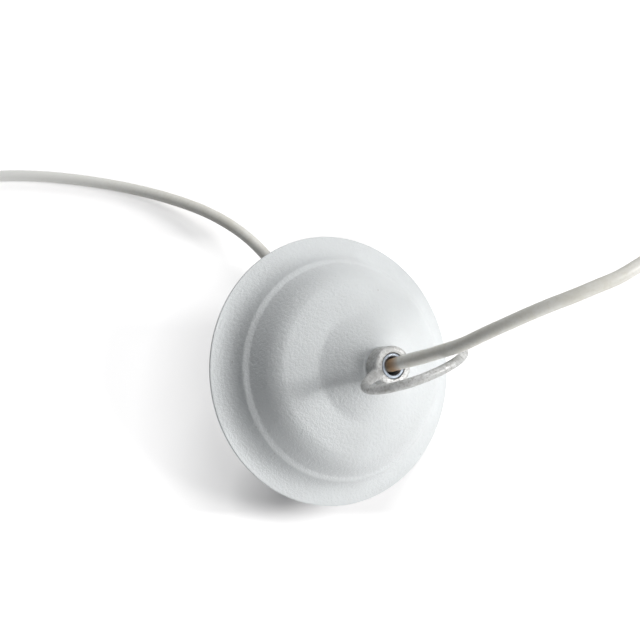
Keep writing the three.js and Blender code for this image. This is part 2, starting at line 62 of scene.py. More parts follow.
rim_height = (RIM_RADIUS * math.sin(LEAN) + SHEET * math.cos(LEAN)) * MM
canopy_frame = (
    Matrix.Translation((0, 0, rim_height))
    @ Matrix.Rotation(TURN, 4, "Z")
    @ Matrix.Rotation(LEAN, 4, "Y")
)
table_frame = Matrix.Identity(4)
print("the rim's middle is", round(rim_height, 4), "m above the table")

# %% [markdown]
# ## Camera
#
# The view is from above and a little in front, 15 degrees off straight down, with a lens a bit
# longer than normal. A long lens would flatten the oval of the rim, and a short one would swell
# the loop that comes towards the viewer. The camera is made first, because where it looks decides
# where the spare flex may lie unseen.

# %% Camera
camera_data = bpy.data.cameras.new("camera")
camera_data.lens = 63.8
camera_data.sensor_width = 36
camera_data.clip_start = 0.02
camera = bpy.data.objects.new("camera", camera_data)
camera.location = (-0.0064, -0.1047, 0.5028)
camera.rotation_euler = (math.radians(15), 0, 0)
bpy.context.scene.collection.objects.link(camera)
bpy.context.scene.camera = camera
print("camera", tuple(round(c, 4) for c in camera.location))

# %% [markdown]
# ## Helpers for shapes
#
# Most pieces are turned, so one helper spins an outline of (radius, height) pairs. Another joins
# rows of points with faces, for threads, teeth and ribs that an outline alone can't give. Each
# returns a list of points and a list of faces, so that a piece can be put together from several.


# %% Shape helpers
def join_shapes(*shapes):
    """Several shapes as one list of points and faces."""
    points, faces = [], []
    for shape_points, shape_faces in shapes:
        start = len(points)
        points += [Vector(p) for p in shape_points]
        faces += [[start + i for i in face] for face in shape_faces]
    return points, faces


def moved(shape, matrix):
    points, faces = shape
    return [matrix @ Vector(p) for p in points], faces


def rows(lines, around=True, along=False):
    """Faces between rows of points: around closes each row, along joins the last row to the first."""
    count = len(lines[0])
    points = [Vector(p) for line in lines for p in line]
    faces = []
    for j in range(len(lines) - (0 if along else 1)):
        upper = (j + 1) % len(lines)
        for i in range(count if around else count - 1):
            k = (i + 1) % count
            faces.append([j * count + i, j * count + k, upper * count + k, upper * count + i])
    return points, faces


def circle(radius, z, segments):
    """Points around the Z axis, at one radius and height."""
    angles = [2 * math.pi * i / segments for i in range(segments)]
    return [(radius * math.cos(a), radius * math.sin(a), z) for a in angles]


def turned(outline, segments=96):
    """A solid of revolution about Z. The outline closes on itself, or on the axis."""
    on_axis = outline[0][0] == 0
    ring = outline[1:-1] if on_axis else outline
    points, faces = rows([circle(r, z, segments) for r, z in ring], along=not on_axis)
    if on_axis:
        foot, top = len(points), len(points) + 1
        points += [Vector((0, 0, outline[0][1])), Vector((0, 0, outline[-1][1]))]
        last = (len(ring) - 1) * segments
        for i in range(segments):
            k = (i + 1) % segments
            faces.append([foot, k, i])
            faces.append([top, last + i, last + k])
    return points, faces


def rounded(outline, radius, steps=3):
    """The closed outline with each corner cut by a small arc."""
    soft = []
    count = len(outline)
    for i, corner in enumerate(outline):
        here = Vector(corner)
        before = Vector(outline[i - 1]) - here
        after = Vector(outline[(i + 1) % count]) - here
        reach = min(radius, before.length * 0.45, after.length * 0.45)
        a, b = here + before.normalized() * reach, here + after.normalized() * reach
        for s in range(steps + 1):
            t = s / steps
            soft.append(tuple((1 - t) ** 2 * a + 2 * t * (1 - t) * here + t * t * b))
    return soft


def ring_shape(outer, inner, z, thickness, edge):
    """A flat ring with softened edges, its lower face at z."""
    outline = [(inner, z), (outer, z), (outer, z + thickness), (inner, z + thickness)]
    return turned(rounded(outline, edge))


print("shape helpers are ready")


# %% [markdown]
# A route is a short list of points. A centripetal Catmull-Rom curve runs through all of them without
# overshooting, which a plain spline would do where they lie close together.
# The tube is then swept along it with a frame that never twists.


# %% Routes and tubes
def smooth_line(points, step):
    """Points about one step apart on a centripetal Catmull-Rom curve through the given ones."""
    p = [Vector(q) for q in points]
    p = [2 * p[0] - p[1], *p, 2 * p[-1] - p[-2]]
    line = []
    for a, b, c, d in zip(p, p[1:], p[2:], p[3:]):
        ta, tb, tc = ((v - u).length ** 0.5 for u, v in ((a, b), (b, c), (c, d)))
        m1 = tb * ((b - a) / ta - (c - a) / (ta + tb) + (c - b) / tb)
        m2 = tb * ((c - b) / tb - (d - b) / (tb + tc) + (d - c) / tc)
        count = max(1, round((c - b).length / step))
        for i in range(count):
            t = i / count
            line.append(
                (2 * t**3 - 3 * t**2 + 1) * b
                + (t**3 - 2 * t**2 + t) * m1
                + (3 * t**2 - 2 * t**3) * c
                + (t**3 - t**2) * m2
            )
    line.append(p[-2])
    return line


def line_length(line):
    return sum((b - a).length for a, b in zip(line, line[1:]))


def frames_along(line):
    """Two directions square to the line at each point, carried along so that they never twist."""
    side = None
    found = []
    for i, point in enumerate(line):
        ahead = (line[min(i + 1, len(line) - 1)] - line[max(i - 1, 0)]).normalized()
        if side is None:
            side = ahead.orthogonal()
        side = (side - ahead * side.dot(ahead)).normalized()
        found.append((point, side, ahead.cross(side)))
    return found


def tube(line, radius, sides):
    """A round bar along a line. radius is a number, or a function of the share of the way along."""
    lines = []
    last = len(line) - 1
    angles = [2 * math.pi * k / sides for k in range(sides)]
    for i, (point, side, up) in enumerate(frames_along(line)):
        r = radius(i / last) if callable(radius) else radius
        lines.append([point + r * (math.cos(a) * side + math.sin(a) * up) for a in angles])
    points, faces = rows(lines)
    start, far = len(points), last * sides
    points += [line[0], line[-1]]
    for k in range(sides):
        n = (k + 1) % sides
        faces.append([start, n, k])
        faces.append([start + 1, far + k, far + n])
    return points, faces


print("a straight 10 mm test line measures", line_length(smooth_line([(0, 0, 0), (10, 0, 0)], 1)))


# %% [markdown]
# ## Making an object
#
# A piece is made from its points and faces, given its finish, and tied to the body that it moves
# with. Its points are laid down with its frame's matrix, and the object itself stays at the
# origin, so its box is its true size. It also names the nodes of the engineering model that it
# stands for. Faces are smooth, with an edge kept sharp where two meet at a clear angle.


# %% Piece helpers
def shape_object(name, shape, where):
    """A mesh object from a shape in millimetres that stands in the given frame."""
    points, faces = shape
    mesh = bpy.data.meshes.new(name)
    mesh.from_pydata([where @ (Vector(p) * MM) for p in points], [], [list(f) for f in faces])
    work = bmesh.new()
    work.from_mesh(mesh)
    bmesh.ops.recalc_face_normals(work, faces=work.faces)
    work.to_mesh(mesh)
    work.free()
    obj = bpy.data.objects.new(name, mesh)
    bpy.context.scene.collection.objects.link(obj)
    return obj


def apply_modifiers(obj):
    """Turns what the modifiers make of the mesh into the mesh itself."""
    graph = bpy.context.evaluated_depsgraph_get()
    finished = bpy.data.meshes.new_from_object(obj.evaluated_get(graph))
    obj.modifiers.clear()
    obj.data = finished


def carve(obj, *tools):
    """Cuts other objects out of this one and removes them."""
    for tool in tools:
        cut = obj.modifiers.new("cut", "BOOLEAN")
        cut.operation = "DIFFERENCE"
        cut.solver = "EXACT"
        cut.object = tool
    bpy.context.view_layer.update()
    apply_modifiers(obj)
    for tool in tools:
        bpy.data.objects.remove(tool)


def soften(obj, width):
    """Rounds the sharp edges by a width in millimetres."""
    bevel = obj.modifiers.new("soften", "BEVEL")
    bevel.width = width * MM
    bevel.segments = 2
    bevel.limit_method = "ANGLE"
    bevel.angle_limit = math.radians(35)
    bevel.harden_normals = False
    apply_modifiers(obj)


def finish_piece(obj, material, nodes, body="canopy", sharp=38):
    """Paints a piece, hides the nodes that it stands for, and ties it to its body."""
    obj.data.materials.clear()
    obj.data.materials.append(material)
    obj.data.shade_smooth()
    obj.data.set_sharp_from_angle(angle=math.radians(sharp))
    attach(obj, body)
    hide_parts(*nodes)


print("piece helpers are ready")

# %% [markdown]
# ## Effects that finishes share
#
# A painted casting, a moulded cap and a zinc nut all need small variation, or they look like
# computer models. Instead of repeating the same nodes in each material, each effect is one node
# group with named sockets. A material places the group with its own values.


# %% Node group helpers
def new_group(name, inputs, outputs):
    """An empty shader group with its sockets, and the nodes its inputs and outputs go to."""
    group = bpy.data.node_groups.new(name, "ShaderNodeTree")
    for socket, kind, value in inputs:
        item = group.interface.new_socket(socket, in_out="INPUT", socket_type=kind)
        if value is not None:
            item.default_value = value
    for socket, kind in outputs:
        group.interface.new_socket(socket, in_out="OUTPUT", socket_type=kind)
    return group, group.nodes.new("NodeGroupInput"), group.nodes.new("NodeGroupOutput")


def add(tree, kind, settings=None, **links):
    """A node with some settings and inputs filled in: i0 is its first input, and a name is a named one.

    A link is the socket that it comes from, or a plain value.
    """
    node = tree.nodes.new(kind)
    for key, value in (settings or {}).items():
        setattr(node, key, value)
    for key, value in links.items():
        numbered = key[0] == "i" and key[1:].isdigit()
        socket = node.inputs[int(key[1:]) if numbered else key]
        if isinstance(value, bpy.types.NodeSocket):
            tree.links.new(value, socket)
        else:
            socket.default_value = value
    return node


def noise_node(tree, vector, scale, detail=2.0, roughness=0.5, distortion=0.0):
    return add(
        tree,
        "ShaderNodeTexNoise",
        None,
        Vector=vector,
        Scale=scale,
        Detail=detail,
        Roughness=roughness,
        Distortion=distortion,
    )


def maths(tree, operation, a, b=0.0):
    return add(tree, "ShaderNodeMath", {"operation": operation}, i0=a, i1=b).outputs[0]


def stretch(tree, value, low, high, new_low=0.0, new_high=1.0):
    """Maps low..high of a value to new_low..new_high, and stops there."""
    kind = "ShaderNodeMapRange"
    node = add(tree, kind, {"clamp": True}, i0=value, i1=low, i2=high, i3=new_low, i4=new_high)
    return node.outputs[0]


print("group helpers are ready")

# %% [markdown]
# Mottle is a soft cloudy mask, for places where paint is thinner or skin oils have dulled it.
# Low and high choose how much of the surface it takes: close together they give hard blotches.

# %% Mottle
FLOAT, VECTOR = "NodeSocketFloat", "NodeSocketVector"
mottle, inside, outside = new_group(
    "mottle",
    [("Position", VECTOR, None), ("Scale", FLOAT, 200.0), ("Low", FLOAT, 0.4), ("High", FLOAT, 0.7)],
    [("Mask", FLOAT)],
)
clouds = noise_node(mottle, inside.outputs["Position"], inside.outputs["Scale"], 4.0, 0.6, 0.4)
mask = stretch(mottle, clouds.outputs[0], inside.outputs["Low"], inside.outputs["High"])
mottle.links.new(mask, outside.inputs["Mask"])
print("mottle has", len(mottle.nodes), "nodes")

# %% [markdown]
# Peel is the skin of sprayed paint or of a moulding: rounded bumps of one size with finer ones
# on top. It gives a height, which each material turns into a bump of its own strength.

# %% Peel
peel, inside, outside = new_group(
    "peel",
    [("Position", VECTOR, None), ("Scale", FLOAT, 900.0), ("Fine", FLOAT, 0.35)],
    [("Height", FLOAT)],
)
bumps = noise_node(peel, inside.outputs["Position"], inside.outputs["Scale"], 1.0, 0.5, 0.2)
fine_scale = maths(peel, "MULTIPLY", inside.outputs["Scale"], 3.1)
grains = noise_node(peel, inside.outputs["Position"], fine_scale, 2.0, 0.6)
fine = maths(peel, "MULTIPLY", grains.outputs[0], inside.outputs["Fine"])
peel.links.new(maths(peel, "ADD", bumps.outputs[0], fine), outside.inputs["Height"])
print("peel has", len(peel.nodes), "nodes")

# %% [markdown]
# Specks are single pits and grains of dirt. A Voronoi texture puts one point in each cell. The
# mask keeps a small disc around it, and the cell's own random colour throws most of them away.

# %% Specks
specks, inside, outside = new_group(
    "specks",
    [("Position", VECTOR, None), ("Scale", FLOAT, 150.0), ("Size", FLOAT, 0.12), ("Share", FLOAT, 0.1)],
    [("Mask", FLOAT)],
)
where, how_many = inside.outputs["Position"], inside.outputs["Scale"]
cells = add(specks, "ShaderNodeTexVoronoi", None, Vector=where, Scale=how_many)
edge = maths(specks, "MULTIPLY", inside.outputs["Size"], 0.5)
disc = stretch(specks, cells.outputs["Distance"], inside.outputs["Size"], edge)
pick = add(specks, "ShaderNodeSeparateColor", None, Color=cells.outputs["Color"])
kept = maths(specks, "LESS_THAN", pick.outputs[0], inside.outputs["Share"])
specks.links.new(maths(specks, "MULTIPLY", disc, kept), outside.inputs["Mask"])
print("specks has", len(specks.nodes), "nodes")

# %% [markdown]
# Rings are the fine lines that a lathe or a spinning tool leaves, around the Z axis of the
# piece's own frame. The distance from the axis and the height pick the line, so they stay
# round on a flat face, a cone and a wall alike.

# %% Rings
rings, inside, outside = new_group(
    "rings",
    [("Position", VECTOR, None), ("Scale", FLOAT, 2500.0), ("Breaks", FLOAT, 60.0)],
    [("Height", FLOAT)],
)
parts = add(rings, "ShaderNodeSeparateXYZ", None, i0=inside.outputs["Position"])
flat = add(rings, "ShaderNodeCombineXYZ", None, i0=parts.outputs[0], i1=parts.outputs[1])
away = add(rings, "ShaderNodeVectorMath", {"operation": "LENGTH"}, i0=flat.outputs[0]).outputs["Value"]
tall = maths(rings, "MULTIPLY", parts.outputs[2], 0.7)
lane = maths(rings, "MULTIPLY", maths(rings, "ADD", away, tall), inside.outputs["Scale"])
broken = noise_node(rings, inside.outputs["Position"], inside.outputs["Breaks"], 1.0)
wander = maths(rings, "MULTIPLY", broken.outputs[0], 6.0)
spot = add(rings, "ShaderNodeCombineXYZ", None, i0=lane, i1=wander)
lines = noise_node(rings, spot.outputs[0], 1.0, 1.0)
rings.links.new(lines.outputs[0], outside.inputs["Height"])
print("rings has", len(rings.nodes), "nodes")

# %% [markdown]
# ## Finishes
#
# Every finish starts from the same few nodes: a Principled shader, a place in the piece's own
# frame, a base colour that two masks vary, a roughness that one mask varies, and a bump. Values
# that are the same everywhere are set on the shader itself.


# %% Finish helpers
def start_finish(name, colour, roughness, metallic=0.0, frame_matrix=None):
    """A material, its tree, its shader and the place on the piece, measured in a frame of its own."""
    material = bpy.data.materials.new(name)
    material.use_nodes = True
    tree = material.node_tree
    shader = tree.nodes["Principled BSDF"]
    shader.inputs["Base Color"].default_value = (*colour, 1)
    shader.inputs["Roughness"].default_value = roughness
    shader.inputs["Metallic"].default_value = metallic
    place = tree.nodes.new("ShaderNodeTexCoord").outputs["Object"]
    if frame_matrix is not None:
        back = add(
            tree,
            "ShaderNodeMapping",
            {"vector_type": "TEXTURE"},
            Vector=place,
            Location=frame_matrix.to_translation(),
            Rotation=frame_matrix.to_euler(),
        )
        place = back.outputs[0]
    return material, tree, shader, place


def use_group(tree, group, **inputs):
    node = tree.nodes.new("ShaderNodeGroup")
    node.node_tree = group
    for key, value in inputs.items():
        if isinstance(value, bpy.types.NodeSocket):
            tree.links.new(value, node.inputs[key])
        else:
            node.inputs[key].default_value = value
    return node.outputs[0]


def blend_colour(tree, mask, first, second):
    """A colour that goes from the first to the second as the mask goes from 0 to 1."""
    node = tree.nodes.new("ShaderNodeMix")
    node.data_type = "RGBA"
    tree.links.new(mask, node.inputs[0])
    for socket, colour in ((node.inputs[6], first), (node.inputs[7], second)):
        if isinstance(colour, bpy.types.NodeSocket):
            tree.links.new(colour, socket)
        else:
            socket.default_value = (*colour, 1)
    return node.outputs[2]


def vary(tree, shader, key, mask, low, high):
    tree.links.new(stretch(tree, mask, 0.0, 1.0, low, high), shader.inputs[key])


def bump(tree, shader, height, strength, distance=0.0002):
    """Adds a bump under any bump that the shader already has."""
    node = add(tree, "ShaderNodeBump", None, Strength=strength, Distance=distance, Height=height)
    if shader.inputs["Normal"].is_linked:
        tree.links.new(shader.inputs["Normal"].links[0].from_socket, node.inputs["Normal"])
    tree.links.new(node.outputs["Normal"], shader.inputs["Normal"])


def plain_finish(name, colour, stain, roughness, scale=400.0, rise=0.08):
    """A finish with cloudy variation towards a stain colour, uneven gloss and a fine skin."""
    material, tree, shader, place = start_finish(name, colour, roughness)
    cloud = use_group(tree, mottle, Position=place, Scale=scale, Low=0.42, High=0.72)
    tree.links.new(blend_colour(tree, cloud, colour, stain), shader.inputs["Base Color"])
    vary(tree, shader, "Roughness", cloud, roughness * 0.85, min(1.0, roughness * 1.25))
    bump(tree, shader, use_group(tree, peel, Position=place, Scale=1500.0, Fine=0.4), rise)
    return material


print("finish helpers are ready")

# %% [markdown]
# The dish's paint is matt white with a cold cast. Its skin shows the pressed sheet under it:
# a fine grain, and broken lines around the axis where the die's turned marks came through.
# A few specks of dirt sit on it, and the flange has picked up a little grey.

# %% Canopy paint
canopy_paint, tree, shader, place = start_finish(
    "canopy_white_paint", (0.805, 0.83, 0.84), 0.5, frame_matrix=canopy_frame
)
cloud = use_group(tree, mottle, Position=place, Scale=60.0, Low=0.35, High=0.75)
dirt = use_group(tree, specks, Position=place, Scale=170.0, Size=0.07, Share=0.16)
dusty = blend_colour(tree, cloud, (0.81, 0.838, 0.85), (0.78, 0.802, 0.812))
tree.links.new(blend_colour(tree, dirt, dusty, (0.60, 0.60, 0.59)), shader.inputs["Base Color"])
vary(tree, shader, "Roughness", cloud, 0.54, 0.68)
bump(tree, shader, use_group(tree, rings, Position=place, Scale=1500.0, Breaks=90.0), 0.22, 0.0003)
bump(tree, shader, use_group(tree, peel, Position=place, Scale=800.0, Fine=0.8), 0.6, 0.0004)
print(canopy_paint.name, "has", len(tree.nodes), "nodes")

# %% [markdown]
# The loop is painted too, but it is a casting that hands and hooks have rubbed. The paint is
# dull and blotchy, a warmer grey shows in it, and pores from the mould pit its skin.

# %% Loop paint
loop_paint, tree, shader, place = start_finish("worn_loop_paint", (0.62, 0.62, 0.61), 0.4, 0.2)
cloud = use_group(tree, mottle, Position=place, Scale=240.0, Low=0.38, High=0.62)
patch = use_group(tree, mottle, Position=place, Scale=900.0, Low=0.48, High=0.66)
pores = use_group(tree, specks, Position=place, Scale=900.0, Size=0.2, Share=0.35)
worn = blend_colour(tree, cloud, (0.64, 0.645, 0.64), (0.48, 0.485, 0.48))
rubbed = blend_colour(tree, patch, worn, (0.40, 0.395, 0.38))
tree.links.new(blend_colour(tree, pores, rubbed, (0.28, 0.27, 0.255)), shader.inputs["Base Color"])
vary(tree, shader, "Roughness", patch, 0.32, 0.55)
bump(tree, shader, pores, -0.3, 0.0002)
bump(tree, shader, use_group(tree, peel, Position=place, Scale=1100.0, Fine=0.7), 0.4, 0.0003)
print(loop_paint.name, "has", len(tree.nodes), "nodes")

# %% [markdown]
# The flex's sheath is soft PVC in a warm off-white. It is smooth along its length, but age and
# handling leave it cloudy, with a slightly yellow cast in places. Where it leaves the tube it has
# rubbed on the steel, and rust has stained it. That stain fades with the distance from the mouth.
# Far to the left the mains side is painted lighter: a painted light for the fuller light that reaches it
# away from the dish. So the last mask reads how far to the left a place is.

# %% Flex sheath
FLEX_EXIT = Vector((22.6, -7.0, 71.1))
flex_sheath, tree, shader, place = start_finish("flex_vinyl", (0.83, 0.82, 0.77), 0.42)
cloud = use_group(tree, mottle, Position=place, Scale=60.0, Low=0.35, High=0.7)
grime = use_group(tree, mottle, Position=place, Scale=220.0, Low=0.42, High=0.76)
fleck = use_group(tree, mottle, Position=place, Scale=900.0, Low=0.50, High=0.80)
aged = blend_colour(tree, cloud, (0.885, 0.88, 0.84), (0.83, 0.815, 0.75))
handled = blend_colour(tree, grime, aged, (0.795, 0.775, 0.70))
flecked = blend_colour(tree, fleck, handled, (0.76, 0.735, 0.66))
along_table = add(tree, "ShaderNodeSeparateXYZ", i0=place).outputs["X"]
# Painted light: the sheath is painted lighter towards the far left end of the mains side.
painted_light_far_left = stretch(tree, along_table, -0.150, -0.060, 1.0, 0.0)
sheath = blend_colour(tree, painted_light_far_left, flecked, (0.96, 0.96, 0.935))
from_mouth = add(tree, "ShaderNodeVectorMath", {"operation": "DISTANCE"}, i0=place, i1=FLEX_EXIT * MM)
rust = stretch(tree, from_mouth.outputs["Value"], 0.0024, 0.0055, 0.9, 0.0)
tree.links.new(blend_colour(tree, rust, sheath, (0.50, 0.27, 0.10)), shader.inputs["Base Color"])
vary(tree, shader, "Roughness", cloud, 0.34, 0.5)
bump(tree, shader, use_group(tree, peel, Position=place, Scale=420.0, Fine=0.3), 0.1, 0.0003)
print(flex_sheath.name, "has", len(tree.nodes), "nodes")

# %% [markdown]
# The metal under the dish is zinc plated: bluish, half bright, with turned marks on round
# pieces. Brass is the same idea in yellow. Both are metals, so their colour is what they mirror.


# %% Metals
def metal_finish(name, colour, stain, roughness, frame_matrix):
    """A metal with turned marks around the Z axis of the piece's own frame."""
    material, tree, shader, place = start_finish(name, colour, roughness, 1.0, frame_matrix)
    cloud = use_group(tree, mottle, Position=place, Scale=320.0, Low=0.4, High=0.75)
    tree.links.new(blend_colour(tree, cloud, colour, stain), shader.inputs["Base Color"])
    vary(tree, shader, "Roughness", cloud, roughness * 0.8, roughness * 1.35)
    marks = use_group(tree, rings, Position=place, Scale=2600.0, Breaks=200.0)
    bump(tree, shader, marks, 0.12, 0.0001)
    return material


tube_zinc = metal_finish("tube_plating", (0.32, 0.35, 0.39), (0.22, 0.25, 0.29), 0.5, canopy_frame)
nut_zinc = metal_finish("nut_plating", (0.66, 0.67, 0.70), (0.50, 0.50, 0.50), 0.34, canopy_frame)
print("zinc finishes:", tube_zinc.name, nut_zinc.name)

# %% [markdown]
# Pressed strip is rolled, so its marks run along it instead of round. Stretching the place that
# a noise texture reads from, along one axis, turns its blobs into long lines.

# %% Rolled strip
BRACKET_TURN = 48
bracket_frame = canopy_frame @ Matrix.Rotation(math.radians(BRACKET_TURN), 4, "Z")
bracket_steel, tree, shader, place = start_finish(
    "rolled_strip", (0.64, 0.65, 0.67), 0.36, 1.0, bracket_frame
)
long_place = add(tree, "ShaderNodeMapping", None, Vector=place, Scale=(1.0, 14.0, 14.0))
grain = noise_node(tree, long_place.outputs[0], 260.0, 3.0)
cloud = use_group(tree, mottle, Position=place, Scale=120.0, Low=0.4, High=0.75)
tree.links.new(
    blend_colour(tree, cloud, (0.66, 0.67, 0.69), (0.48, 0.48, 0.48)), shader.inputs["Base Color"]
)
vary(tree, shader, "Roughness", grain.outputs[0], 0.28, 0.5)
bump(tree, shader, grain.outputs[0], 0.1, 0.0001)
print(bracket_steel.name, "has", len(tree.nodes), "nodes")

# %% [markdown]
# Plastics differ in colour, gloss and skin. Mouldings have a faint peel, the terminal block is
# milky, and the cores' insulation is smooth and bright. The ceramic is no plastic, but the same
# few nodes with a low roughness give its glaze. The earth core has two colours, so its finish
# waits until the cores' own frame is known.

# %% Plastics
white_plastic = plain_finish("moulded_white", (0.78, 0.775, 0.75), (0.72, 0.71, 0.68), 0.36)
block_plastic = plain_finish(
    "milky_nylon", (0.82, 0.82, 0.80), (0.79, 0.785, 0.76), 0.36, scale=150.0, rise=0.04
)
tie_plastic = plain_finish("strap_grey", (0.62, 0.62, 0.60), (0.55, 0.55, 0.53), 0.6, rise=0.2)
ceramic = plain_finish("glazed_ceramic", (0.82, 0.81, 0.77), (0.78, 0.77, 0.73), 0.2, rise=0.03)
core_brown = plain_finish("brown_core_skin", (0.17, 0.075, 0.035), (0.14, 0.06, 0.03), 0.4)
core_blue = plain_finish("blue_core_skin", (0.05, 0.17, 0.48), (0.04, 0.14, 0.42), 0.4)
print("plastics:", white_plastic.name, block_plastic.name, tie_plastic.name, ceramic.name)

# %% [markdown]
# ## The flex
#
# The flex is one length that runs through the canopy. It leaves the cord grip underneath, passes under
# the lifted rim and ends at a terminal block. At the other end it leaves the threaded tube, arches over,
# and comes down to the table. What is not on show there is wound into a coil and ends in a lampholder. A
# flex keeps its length and won't bend sharply, so each free stretch follows a given list of points on a
# smooth line.

# %% Routes of the flex
FLEX_RADIUS = 2.65
FLEX_ACROSS = 2 * FLEX_RADIUS
mains_route = [
    (5.7, -1.9, 39.8), (2.0, 1.2, 33.5), (-2.0, 6.0, 28.0), (-6.0, 11.9, 23.8), (-9.8, 18.5, 20.7),
    (-13.4, 25.5, 18.7), (-17.0, 32.8, 17.4), (-20.7, 40.0, 16.7), (-24.7, 47.1, 16.0),
    (-29.2, 53.9, 15.3), (-34.3, 60.2, 14.3), (-44.0, 69.4, 12.1), (-58.2, 78.9, 9.2),
    (-78.0, 87.7, 5.6), (-100.7, 94.3, 3.1), (-123.1, 98.1, 2.65), (-143.1, 99.8, 2.65),
    (-160.0, 99.6, 2.65), (-176.0, 97.5, 2.65),
]
lamp_route = [
    tuple(FLEX_EXIT), (26.9, -7.0, 76.7), (30.9, -7.0, 81.6), (35.0, -6.8, 86.4), (38.8, -6.4, 90.5),
    (42.5, -6.0, 94.3), (46.5, -5.3, 98.1), (53.4, -3.1, 104.3), (60.7, -0.7, 109.4),
    (68.0, 1.9, 113.2), (75.4, 4.5, 115.9), (83.4, 7.3, 117.6), (91.2, 10.5, 118.2), (99.4, 14.1, 117.7),
    (107.3, 19.0, 116.0), (119.1, 27.6, 110.9), (131.8, 37.6, 100.6), (142.4, 45.3, 86.8),
    (151.6, 49.8, 70.8), (160.0, 50.7, 53.7), (168.5, 47.8, 36.9), (178.1, 40.9, 21.9),
    (188.9, 30.6, 10.4), (200.1, 18.5, 4.8),
]
tail_route = [
    (150.72, -14.5, 9.05), (150.75, -9.5, 8.95), (150.8, -4.5, 8.4),
    (150.8, 0.5, 7.2), (151.0, 10.0, 5.4), (151.3, 20.0, 3.6), (151.8, 30.0, 2.8), (153.0, 40.0, 2.65),
    (155.6, 50.0, 3.0), (160.2, 59.4, 4.4), (166.8, 67.8, 7.0), (174.6, 74.8, 10.4),
    (182.6, 78.9, 13.3), (189.6, 80.0, 14.9), (195.6, 80.0, 15.9),
]
print("points by hand:", len(mains_route), len(lamp_route), len(tail_route))

# %% [markdown]
# The coil is worked out from its angle. It has three lanes side by side. The flex winds inwards
# over them on the table, climbs to a second layer, and winds outwards again on top, a little over
# four and a half turns in all. Each step to the next lane takes nearly a third of a turn, and the
# steps come one after the other, so that the flex never has to pass through itself.

# %% Coil of the spare flex
COIL_MIDDLE = Vector((186, -19.7, 0))
COIL_LIFT = 1.1
MIDDLE_LANE = 30
OUTER_LANE = MIDDLE_LANE + FLEX_ACROSS
ENTRY_ANGLE = 40
STEP_ARC = 110
STEPS_IN, STEP_UP, STEPS_OUT = (250, 610), 860, (1110, 1470)
WHOLE_SWEEP = 1660


def eased(angle, start):
    """0 before start, 1 a step's arc later, and a smooth rise between."""
    share = min(max((angle - start) / STEP_ARC, 0), 1)
    return 0.5 - 0.5 * math.cos(math.pi * share)


def coil_point(angle):
    """The middle of the flex, this many degrees after it enters the coil."""
    lanes_in = sum(eased(angle, start) for start in STEPS_IN)
    lanes_out = sum(eased(angle, start) for start in STEPS_OUT)
    radius = OUTER_LANE + FLEX_ACROSS * (lanes_out - lanes_in)
    height = COIL_LIFT + FLEX_RADIUS + FLEX_ACROSS * eased(angle, STEP_UP)
    around = math.radians(ENTRY_ANGLE - angle)
    return COIL_MIDDLE + Vector((radius * math.cos(around), radius * math.sin(around), height))


coil_line = [coil_point(a) for a in range(0, WHOLE_SWEEP + 1, 5)]
print("the coil holds", round(line_length(coil_line) / 1000, 3), "m of flex")

# %% [markdown]
# Each stretch becomes a swept tube with 20 sides and a point about every 2.5 mm. A curve object
# with a round bevel would look nearly the same, but a mesh can carry the faint swellings that an
# extruded sheath has. The tube's radius gets those from a very small, slow noise.


# %% Flex pieces
FLEX_STEP = 2.5
DRIFT = 0.012


def flex_piece(name, line, seed):
    """A swept sheath whose radius drifts by about one part in a hundred."""
    last = len(line) - 1
    drift = [noise.noise(Vector((seed, i * 0.11, 0.0))) for i in range(last + 1)]
    shape = tube(line, lambda t: FLEX_RADIUS * (1 - DRIFT + DRIFT * drift[round(t * last)]), 20)
    return shape_object(name, shape, table_frame)


mains_line = smooth_line(mains_route, FLEX_STEP)
lamp_line = smooth_line([*lamp_route, *coil_line[::6], *tail_route], FLEX_STEP)
mains_flex = flex_piece("mains_flex_whole", mains_line, 1.7)
lamp_flex = flex_piece("lamp_flex_whole", lamp_line, 8.3)
finish_piece(mains_flex, flex_sheath, ["mains_flex"])
finish_piece(lamp_flex, flex_sheath, ["lamp_flex", "flex_coil", "flex_tail"])

# %% [markdown]
# ## The dish
#
# The canopy is spun or pressed from one millimetre of steel. From the rim it rises in a hollow
# flange to a raised bead, then swells to a shoulder and narrows to the seat that the loop stands
# on. Its outline is a chain of Bezier curves, because a maker of such a form draws it that way.
# The inner side is the same outline, moved in by the sheet's thickness.


# %% Outline of the dish
FLANGE_TOP = (47.1, 7.9)
WALL_FOOT = (44.45, 10.9)
WALL_TOP = (41.6, 17.0)
CROWN = (35.2, 24.0)
SHOULDER = (23.6, 28.2)
NECK_FOOT = (21.6, 29.2)
NECK_TOP = (12.6, 35.9)
SEAT = (8.8, 39.6)
THREAD_BORE = 5.3


def bezier(points, steps):
    """Points on a quadratic or cubic Bezier curve, without its last one."""
    p = [Vector(q) for q in points]
    line = []
    for i in range(steps):
        level, t = p, i / steps
        while len(level) > 1:
            level = [a.lerp(b, t) for a, b in zip(level, level[1:])]
        line.append(level[0])
    return line


skin = [
    *bezier([(RIM_RADIUS, 0), (51.2, 0.4), (48.5, 4.2), FLANGE_TOP], 26),
    *bezier([FLANGE_TOP, (46.6, 9.2), (44.95, 9.65), WALL_FOOT], 14),
    *bezier([WALL_FOOT, WALL_TOP], 8),
    *bezier([WALL_TOP, (40.0, 20.3), (37.4, 23.05), CROWN], 14),
    *bezier([CROWN, (30.5, 26.1), SHOULDER], 8),
    *bezier([SHOULDER, (22.6, 28.5), NECK_FOOT], 6),
    *bezier([NECK_FOOT, NECK_TOP], 8),
    *bezier([NECK_TOP, (11.2, 36.95), (9.7, 38.4), SEAT], 10),
    Vector(SEAT),
]
print("the dish's outer outline has", len(skin), "points and is", round(skin[-1].y, 1), "mm high")

